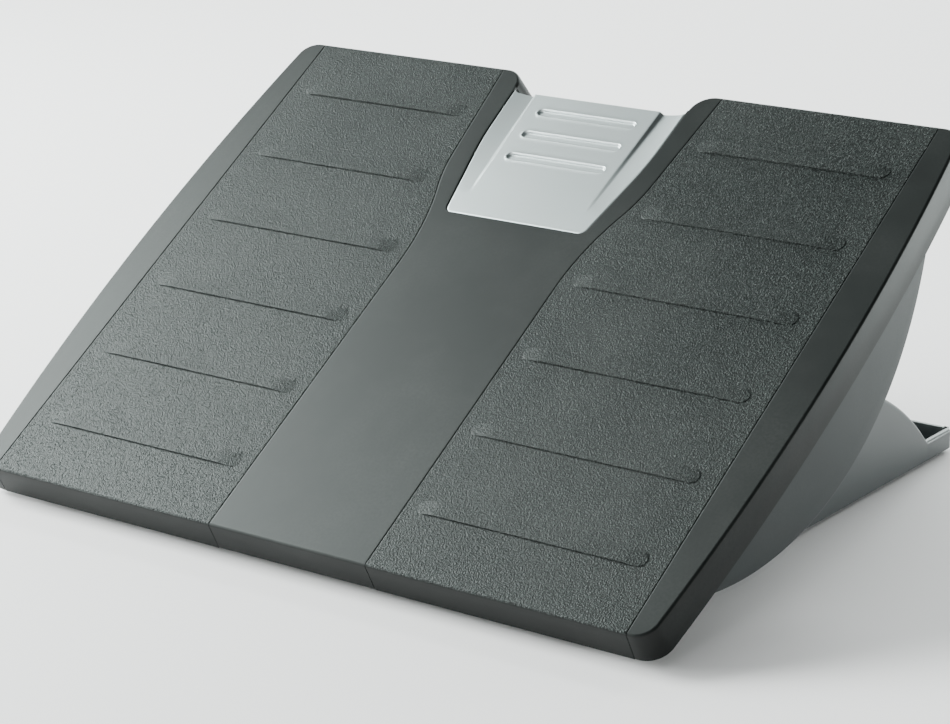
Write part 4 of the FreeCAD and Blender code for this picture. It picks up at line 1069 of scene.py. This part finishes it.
@dataclass
class CentreInsert:
    """The silver plate with its plateau, its two valleys and its three grooves."""

    shop: Workshop
    plan: PlatformPlan
    gap: float = 0.3
    recess: float = 0.3
    bottom_play: float = 0.02
    plateau_start: float = 240.0
    rise: float = 0.2
    front_half: float = 37.0
    rear_half: float = 40.6
    wall_width: float = 2.2
    wall_lead: float = 0.4
    valley_depth: float = 2.0
    valley_rim: float = 1.2
    valley_power: float = 1.25
    groove_first: float = 269.6
    groove_pitch: float = 17.0
    groove_count: int = 3
    groove_half: float = 31.4
    groove_width: float = 4.8
    groove_depth: float = 1.4
    groove_wall: float = 0.8
    groove_lead: float = 0.1
    lip_height: float = 0.12
    lip_away: float = 0.35
    lip_width: float = 0.45
    roll_depth: float = 0.35
    roll_width: float = 0.8

    CREASE = 50.0
    TURN = 6.0
    GROOVE_REACH, NARROW = 3.0, 6.5
    FINE_STEP, COARSE_STEP = 0.3, 1.2
    COLUMNS = ((0.0, 0.45, 15), (0.45, 0.60, 20), (0.60, 0.985, 46), (0.985, 1.0, 7))

    @property
    def grooves(self) -> list[float]:
        """Distance up the platform of each groove's middle."""
        return series(self.groove_first, self.groove_pitch, self.groove_count)

    def height(self, x: np.ndarray, y: np.ndarray, edge: np.ndarray) -> np.ndarray:
        """Height of the top.

        The plateau rises evenly towards the rear. Beside it a valley sinks as
        evenly, and from there the plate climbs back to its rim. The grooves are
        cut in round-ended slots, and the rim rolls over at the outline.
        """
        plan = self.plan
        share = np.clip((y - self.plateau_start) / (plan.notch_floor - self.plateau_start), 0.0, 1.0)
        half = self.front_half + share * (self.rear_half - self.front_half)
        out = np.abs(x)
        top, valley = share * self.rise, -share * self.valley_depth
        fall = ease((out - half + self.wall_lead) / self.wall_width)
        start = half + self.wall_width * 0.5
        climb = np.clip((out - start) / (plan.notch_half - self.valley_rim - start), 0.0, 1.0) ** self.valley_power
        level = top + (valley - top) * fall - valley * climb
        end_radius = self.groove_width / 2
        for at in self.grooves:
            run = np.maximum(out - (self.groove_half - end_radius), 0.0)
            away = np.sqrt(run ** 2 + (y - at) ** 2)
            inside = ease((end_radius - away) / self.groove_wall + self.groove_lead)
            lip = np.exp(-((away - end_radius - self.lip_away) / self.lip_width) ** 2)
            level = level - self.groove_depth * inside + self.lip_height * lip
        near = np.minimum(edge - out, y - plan.insert_front - self.gap)
        roll = self.roll_depth * np.clip(1.0 - near / self.roll_width, 0.0, 1.0) ** 2
        return level - self.recess - roll

    def build(self) -> None:
        """A grid inside the outline, closed by its walls and underside.

        Behind the last groove its rows bend with the notch's floor.
        """
        plan = self.plan
        start = plan.insert_front + self.gap
        marks = [start + self.TURN]
        marks += [at + way * self.GROOVE_REACH for at in self.grooves for way in (-1, 1)]
        rows = [edge_marks(start, marks[0], 18)]
        for first, last in zip(marks, marks[1:] + [plan.notch_floor]):
            narrow = last - first < self.NARROW
            rows.append(spread([first, last], self.FINE_STEP if narrow else self.COARSE_STEP)[1:])
        y = np.concatenate(rows)[:, None]
        half = np.concatenate([[0.0], *(np.linspace(*column)[1:] for column in self.COLUMNS)])
        x = plan.insert_at(y, -self.gap) * np.concatenate([-half[::-1], half[1:]])
        stretch = np.clip((y - marks[-1]) / (plan.notch_floor - marks[-1]), 0.0, 1.0)
        y = y + stretch * (plan.rear_at(x) - plan.notch_floor)
        top = joined(x, y, self.height(x, y, plan.insert_at(y, -self.gap)))
        form = plate_of(top, joined(x, y, self.bottom_play - plan.insert_depth))
        self.shop.piece("centre_insert_form", form, "silver_insert", Body.PLATFORM, "centre_insert", self.CREASE)


@dataclass
class SideCheek:
    """A round-bottomed sheet that hangs under the platform's bowed side."""

    shop: Workshop
    plan: PlatformPlan
    thickness: float = 3.0
    gap: float = 0.2
    radius: float = 188.8
    middle: float = 159.0
    centre: float = 128.6
    top_play: float = 0.05
    edge: float = 1.2
    lug_reach: float = 80.0
    pivot_along: float = 165.4
    lug_width: float = 14.0
    lug_height: float = 3.0
    lug_play: float = 0.02
    lug_round: float = 0.4
    lug_corner: float = 2.0

    ROWS = 181
    SHORT = 0.9995

    def face_at(self, y: np.ndarray) -> np.ndarray:
        """How far out the outer face lies: along the bow, just inside the skirt."""
        plan = self.plan
        flare = plan.side_flare * plan.wall / plan.depth
        return plan.bow_at(y, plan.side_radius + flare - plan.skirt_wall - self.gap)

    def sheet(self) -> Surface:
        """The sheet's section, down its outer face, round its lower edge and up its inner face.

        It is carried along the side: the face follows the bow, and the lower edge
        follows the big circle, so the sheet is deepest in its middle.
        """
        top = self.top_play - self.plan.wall
        half = math.sqrt(self.radius ** 2 - (self.centre + self.plan.wall) ** 2)
        y = self.middle + half * np.sin(np.linspace(-QUARTER, QUARTER, self.ROWS)) * self.SHORT
        bottom = self.centre - half_chord(self.radius, y - self.middle)
        inset, drop = round_steps(self.edge, 5)
        room = np.clip((top - bottom) / (2 * self.edge), 0.0, 1.0)
        turn = bottom + self.edge * room
        outer = self.face_at(y)
        inner = outer - self.thickness
        section = [(outer, top + (turn - top) * share) for share in np.linspace(0.0, 1.0, 8)]
        section += [(outer - run, bottom + fall * room) for run, fall in zip(inset[-2::-1], drop[-2::-1])]
        section += [(inner + run, bottom + fall * room) for run, fall in zip(inset, drop)]
        section += [(inner, turn + (top - turn) * share) for share in (0.5, 1.0)]
        return sheet_of(grid_of(section, y), around=True).turned()

    def lug(self, y: float) -> Surface:
        """The lug that takes a screw."""
        reach = float(self.face_at(np.array(y))) - self.thickness / 2
        half, under = self.lug_width / 2, -self.plan.wall
        low = (self.plan.seam_outer, y - half, under - self.lug_height)
        return box_of(low, (reach, y + half, under + self.lug_play), self.lug_round, self.lug_corner)

    def build(self) -> None:
        """The right and the left cheek."""
        lugs = [self.lug(self.pivot_along + way * self.lug_reach) for way in (-1, 1)]
        form = self.sheet().plus(*lugs)
        self.shop.pair("side_cheek", "side_cheek", form, "cheek_plastic", Body.PLATFORM)


# the base

@dataclass
class BasePlan:
    """Sizes that the base's sides and rails share."""

    front: float = 22.0
    rear: float = 351.0
    clearance: float = 2.0
    flange_wall: float = 3.0
    rim: float = 12.9
    rail_wall: float = 3.0
    rail_width: float = 28.0
    rail_lap: float = 1.5


@dataclass
class BaseSide:
    """A side of the base: an arched wall with a rolled rim, its floor flange, boss and stop posts."""

    shop: Workshop
    plan: BasePlan
    half_width: float = 175.0
    wall: float = 4.0
    flange_width: float = 25.0
    roll: float = 1.9
    foot_front: float = 44.0
    foot_rear: float = 323.0
    top: tuple[float, float] = (150.0, 79.9)
    knee: tuple[float, float] = (276.9, 48.6)
    notch_round: float = 2.5
    pivot: tuple[float, float] = (162.2491, 70.3)
    boss_radius: float = 9.0
    boss_length: float = 8.0
    boss_round: float = 0.8
    stop_circle: float = 13.0
    stop_radius: float = 2.5
    stop_offset: float = 5.8
    stop_round: float = 0.4
    tab_wall: float = 2.6
    rest_tilt: float = 32.3
    back_tilt: float = 10.0
    corner: float = 3.4
    chamfer: float = 0.3
    play: float = 0.3

    BURY = 1.0
    RIM_LEAD = 0.5

    def edge_line(self) -> tuple[np.ndarray, np.ndarray]:
        """The upper edge, front to rear, with the directions that stand out of it.

        Flat rim, small round, arc up to the arch's top, arc down to the knee, a
        wider arc on to the rear rim, small round, flat rim. Each arc touches its
        neighbours.
        """
        rim, small = self.plan.rim, self.notch_round
        top, knee = np.array(self.top), np.array(self.knee)

        def through(point: tuple[float, float]) -> tuple[np.ndarray, float]:
            run, drop = point[0] - top[0], top[1] - point[1]
            radius = (run ** 2 + drop ** 2) / (2 * drop)
            return np.array([top[0], top[1] - radius]), radius

        def notch(centre: np.ndarray, radius: float, side: float) -> np.ndarray:
            height = rim + small
            return np.array([centre[0] + side * half_chord(radius + small, height - centre[1]), height])

        front_centre, front_radius = through((self.foot_front, rim))
        knee_centre, knee_radius = through(self.knee)
        turn = angle_of(knee_centre, knee)
        normal = np.array([math.cos(math.radians(turn)), math.sin(math.radians(turn))])
        run = np.array([self.foot_rear, rim]) - knee
        tail_radius = -float(run @ run) / (2 * float(run @ normal))
        tail_centre = knee - tail_radius * normal
        front, rear = notch(front_centre, front_radius, -1), notch(tail_centre, tail_radius, 1)
        front_angle, rear_angle = angle_of(front_centre, front), angle_of(tail_centre, rear)
        round_off = edge_marks(0.0, self.corner, 9)
        chains = [
            level_run([*(self.plan.front + round_off), front[0] - self.RIM_LEAD], rim, 1.0),
            bend(front, small, -90.0, front_angle - 180, 9, -1.0),
            bend(front_centre, front_radius, front_angle, 90.0, 70),
            bend(knee_centre, knee_radius, 90.0, turn, 60),
            bend(tail_centre, tail_radius, turn, rear_angle, 30),
            bend(rear, small, rear_angle - 180, -90.0, 9, -1.0),
            level_run([rear[0] + self.RIM_LEAD, *(self.plan.rear - round_off[::-1])], rim, 1.0),
        ]
        points, ways = zip(*chains)
        return np.concatenate(points), np.concatenate(ways)

    def sheet(self) -> Surface:
        """The arched wall: its section stands on the floor line and rolls over at the rim."""
        points, ways = self.edge_line()
        y, corner, chamfer = points[:, 0], self.corner, self.chamfer
        inset, drop = round_steps(self.roll, 7)
        inner = self.half_width - self.wall
        turn = np.maximum(np.maximum(self.plan.front + corner - y, y - self.plan.rear + corner), 0.0)
        outer = self.half_width - corner + half_chord(corner, turn)
        low = joined(y, self.plan.clearance)
        section = [(outer - chamfer, low), (outer, low + [0.0, chamfer])]
        section += [(outer - run, points - ways * fall) for run, fall in zip(inset[::-1], drop[::-1])]
        section += [(inner + run, points - ways * fall) for run, fall in zip(inset, drop)]
        section += [(inner, low + [0.0, chamfer]), (inner + chamfer, low)]
        grid = np.stack([joined(x, *line.T) for x, line in section], axis=1)
        first, last = (np.broadcast_to(grid[at].mean(axis=0), grid[at].shape)[None] for at in (0, -1))
        return sheet_of(np.concatenate([first, grid, last]), around=True).turned()

    def flange(self, setback: float, bottom: float, top: float, radius: float) -> Surface:
        """A block of the floor flange, held back from both ends of the side."""
        inner = self.half_width - self.wall
        gap, clearance = setback + self.play, self.plan.clearance
        return box_of((inner - self.flange_width, self.plan.front + gap, clearance + bottom),
                      (inner + self.BURY, self.plan.rear - gap, clearance + top), radius)

    def boss(self) -> Surface:
        """The pin's boss on the inner face."""
        inner = self.half_width - self.wall
        inset, drop = round_steps(self.boss_round, 5)
        nose = joined(self.boss_radius - inset, inner - self.boss_length + drop)
        return turned_of(np.concatenate([nose, [[self.boss_radius, inner + self.BURY]]]), self.pivot)

    def post(self, angle: float) -> Surface:
        """A stop post on the outer face, at an angle about the pivot."""
        y, z = arc_points(self.pivot, self.stop_circle, angle, angle, 1)[0]
        inset, drop = round_steps(self.stop_round, 4)
        nose = joined(self.stop_radius - inset[::-1], self.half_width + self.tab_wall - drop[::-1])
        root = [[self.stop_radius, self.half_width - self.BURY]]
        return turned_of(np.concatenate([root, nose]), (float(y), float(z)), 28)

    def build(self) -> None:
        """The right and the left side."""
        plan = self.plan
        swing = math.degrees(math.asin(self.stop_offset / self.stop_circle))
        form = self.sheet().plus(
            self.flange(plan.rail_wall, 0.0, plan.flange_wall - plan.rail_lap, 0.3),
            self.flange(plan.rail_width, 0.4, plan.flange_wall, 0.4),
            self.boss(), self.post(-90 + self.rest_tilt + swing), self.post(-90 - self.back_tilt - swing),
        )
        self.shop.pair("base_side", "base_side", form, "base_plastic", Body.BASE)


@dataclass
class BaseRails:
    """The two cross rails: an upright web and a flat on the side flanges, in one rounded section."""

    shop: Workshop
    plan: BasePlan
    half: float = 170.7
    soft: float = 0.7
    lap_half: float = 145.7
    lap_play: float = 0.02
    lap_round: float = 0.4
    end_taper: float = 0.3
    end_share: float = 0.98

    def surface(self, edge: float, way: float) -> Surface:
        """The section carried from side to side.

        Its corners are quarter circles about points set in by the round, listed
        round the L, and it is mirrored front to back for the rear rail. A block
        between the side flanges fills it up to the floor line.
        """
        plan, soft = self.plan, self.soft
        low, wall, width, high = plan.clearance, plan.rail_wall, plan.rail_width, plan.rim
        seat = low + plan.flange_wall
        under = seat - plan.rail_lap
        corners = [
            ((0.0, low), 180), ((wall, low), 270), ((wall, under), None), ((width, under), 270),
            ((width, seat), 0), ((wall, seat), None), ((wall, high), 0), ((0.0, high), 90),
        ]
        section = []
        for point, start in corners:
            if start is None:
                section.append(np.array([point]))
                continue
            middle = arc_points((0.0, 0.0), 1.0, start + 45, start + 45, 1)[0]
            section.append(arc_points(np.array(point) - soft * np.sign(middle), soft, start, start + 90, 5))
        run, height = np.concatenate(section).T
        outline = joined(edge + way * run, height)
        middle = outline.mean(axis=0)
        end, share = self.half, self.end_share
        rings = [(-end, share), (self.end_taper - end, 1.0), (end - self.end_taper, 1.0), (end, share)]
        form = capped(np.stack([joined(x, *(middle + (outline - middle) * size).T) for x, size in rings]))
        near, far = sorted((edge + way * wall * 0.5, edge + way * (width - self.lap_play)))
        block = box_of((-self.lap_half, near, low), (self.lap_half, far, seat - self.lap_play), self.lap_round)
        return (form if way > 0 else form.turned()).plus(block)

    def build(self) -> None:
        """The front and the rear rail."""
        for side, edge, way in (("front", self.plan.front, 1.0), ("rear", self.plan.rear, -1.0)):
            name = "base_%s_rail" % side
            self.shop.piece(name + "_form", self.surface(edge, way), "base_plastic", Body.BASE, name)


@dataclass
class RubberFeet:
    """Four rubber pads with rounded edges and corners."""

    shop: Workshop
    x: float = 157.5
    rows: tuple[float, float] = (66.0, 306.0)
    width: float = 16.0
    length: float = 30.0
    height: float = 3.5
    edge: float = 0.9
    corner: float = 0.8

    def surface(self, x: float, y: float) -> Surface:
        """A rounded block about a point of the floor."""
        run, reach = self.width / 2, self.length / 2
        return box_of((x - run, y - reach, 0.0), (x + run, y + reach, self.height), self.edge, self.corner)

    def build(self) -> None:
        """The four pads, each in place of its CAD node."""
        for row, y in zip(("front", "rear"), self.rows):
            for side, way in (("left", -1), ("right", 1)):
                name = "foot_%s_%s" % (row, side)
                self.shop.piece(name + "_form", self.surface(way * self.x, y), "rubber_foot", Body.BASE, name)


# the stage

@dataclass(frozen=True)
class SoftLight:
    """A square soft light.

    Attributes:
        name: Its name.
        place: Where it stands, in metres.
        aim: The point it looks at.
        size: Its edge.
        power: Watts.
    """

    name: str
    place: tuple[float, float, float]
    aim: tuple[float, float, float]
    size: float
    power: float

    COLOUR = (0.9, 1.0, 0.975)

    def build(self) -> None:
        """Puts the light into the scene."""
        data = bpy.data.lights.new(self.name, "AREA")
        data.shape, data.size, data.energy, data.color = "SQUARE", self.size, self.power, self.COLOUR
        made = bpy.data.objects.new(self.name, data)
        made.location = self.place
        made.rotation_euler = (Vector(self.aim) - Vector(self.place)).to_track_quat("-Z", "Y").to_euler()
        bpy.context.scene.collection.objects.link(made)


class Studio:
    """The pale floor, the sky, the soft lights and the camera at the photograph's angle."""

    LIGHTS = (
        SoftLight("broad_left", (-1.75, -0.35, 1.25), (-0.1, -0.1, 0.05), 1.2, 140.0),
        SoftLight("left_floor", (-1.6, -1.2, 0.35), (0.0, -0.8, 0.0), 0.8, 60.0),
        SoftLight("right_panel", (1.2, 1.3, 0.2), (0.2, 0.05, 0.1), 0.5, 12.5),
        SoftLight("right_edge", (0.75, 0.95, 0.15), (0.2, 0.1, 0.12), 0.25, 3.0),
        SoftLight("rear_sky", (-0.3, 3.2, 1.6), (0, 0, 0), 2.0, 125.0),
        SoftLight("rear_left", (-1.6, 2.2, 1.2), (0, 0, 0), 1.2, 25.0),
    )
    CAMERA = (0.874445, -1.186168, 0.520826)
    TURN = (
        (0.80238779, -0.16593611, 0.57327048),
        (0.59664559, 0.2451001, -0.76415966),
        (-0.01370697, 0.95519168, 0.29567038),
    )
    SENSOR, LENS = 36.0, 111.673
    CLIP = (0.05, 30.0)
    FLOOR_HALF, FLOOR_REACH, FLOOR_BEND = 5.0, 3.0, 1.5
    FLOOR_COLOUR, FLOOR_ROUGHNESS = (0.97, 0.905, 0.915, 1), 0.7
    SKY_COLOUR, SKY_STRENGTH, SKY_FALL = (0.88, 0.97, 0.96, 1), 0.58, 0.54
    SKY_RIGHT, SKY_ABOVE = (0.05, 0.5), (0.15, 0.45)

    def floor(self) -> None:
        """A wide pale floor that curves up far behind."""
        reach, bend_radius = self.FLOOR_REACH, self.FLOOR_BEND
        angle = np.linspace(0, QUARTER, 13)[1:]
        run = np.concatenate([np.linspace(-reach, reach, 7), reach + bend_radius * np.sin(angle)])[:, None]
        rise = np.concatenate([np.zeros(7), bend_radius * (1 - np.cos(angle))])[:, None]
        sheet = sheet_of(joined(np.linspace(-self.FLOOR_HALF, self.FLOOR_HALF, 3), run, rise))
        mesh = bpy.data.meshes.new("floor")
        mesh.from_pydata(sheet.points.tolist(), [], sheet.quads.tolist())
        mesh.polygons.foreach_set("use_smooth", np.ones(len(mesh.polygons), dtype=bool))
        material = bpy.data.materials.new("pale_floor")
        material.use_nodes = True
        shader = material.node_tree.nodes["Principled BSDF"]
        shader.inputs["Base Color"].default_value = self.FLOOR_COLOUR
        shader.inputs["Roughness"].default_value = self.FLOOR_ROUGHNESS
        mesh.materials.append(material)
        made = bpy.data.objects.new("floor", mesh)
        bpy.context.scene.collection.objects.link(made)

    def sky(self) -> None:
        """An even pale sky with its upper right quarter dark, which the silver insert's right-hand walls mirror."""
        world = bpy.data.worlds.new("soft_room")
        bpy.context.scene.world = world
        world.use_nodes = True
        nodes = Nodes(world.node_tree)
        way = nodes.add("ShaderNodeSeparateXYZ", {0: nodes.add("ShaderNodeTexCoord").outputs["Generated"]}).outputs
        right = nodes.remap(way["X"], *self.SKY_RIGHT, "SMOOTHSTEP")
        above = nodes.remap(way["Z"], *self.SKY_ABOVE, "SMOOTHSTEP")
        dark = nodes.math("MULTIPLY", nodes.math("MULTIPLY", right, above), self.SKY_FALL)
        background = world.node_tree.nodes["Background"].inputs
        nodes.fill(background["Color"], self.SKY_COLOUR)
        nodes.fill(background["Strength"], nodes.math("SUBTRACT", self.SKY_STRENGTH, dark))

    def camera(self) -> None:
        """The camera, fitted to the photo's seam lines."""
        data = bpy.data.cameras.new("photo_camera")
        data.sensor_width, data.lens = self.SENSOR, self.LENS
        data.clip_start, data.clip_end = self.CLIP
        made = bpy.data.objects.new("photo_camera", data)
        turn = Matrix(self.TURN).to_4x4()
        turn.translation = Vector(self.CAMERA)
        made.matrix_world = turn
        bpy.context.scene.collection.objects.link(made)
        bpy.context.scene.camera = made

    def build(self) -> None:
        """Sets up floor, sky, lights and camera."""
        self.floor()
        self.sky()
        for light in self.LIGHTS:
            light.build()
        self.camera()


def main() -> None:
    """Builds the footrest's pieces in order, then the studio."""
    logging.basicConfig(level=logging.INFO, format="%(name)s: %(message)s")
    shop, platform, base = Workshop(), PlatformPlan(), BasePlan()
    for kind in (PlatformShell, TreadPanel, CentreInsert, SideCheek):
        kind(shop, platform).build()
    BaseSide(shop, base).build()
    BaseRails(shop, base).build()
    RubberFeet(shop).build()
    shop.dress_kept_nodes()
    Studio().build()


if __name__ == "__main__":
    main()
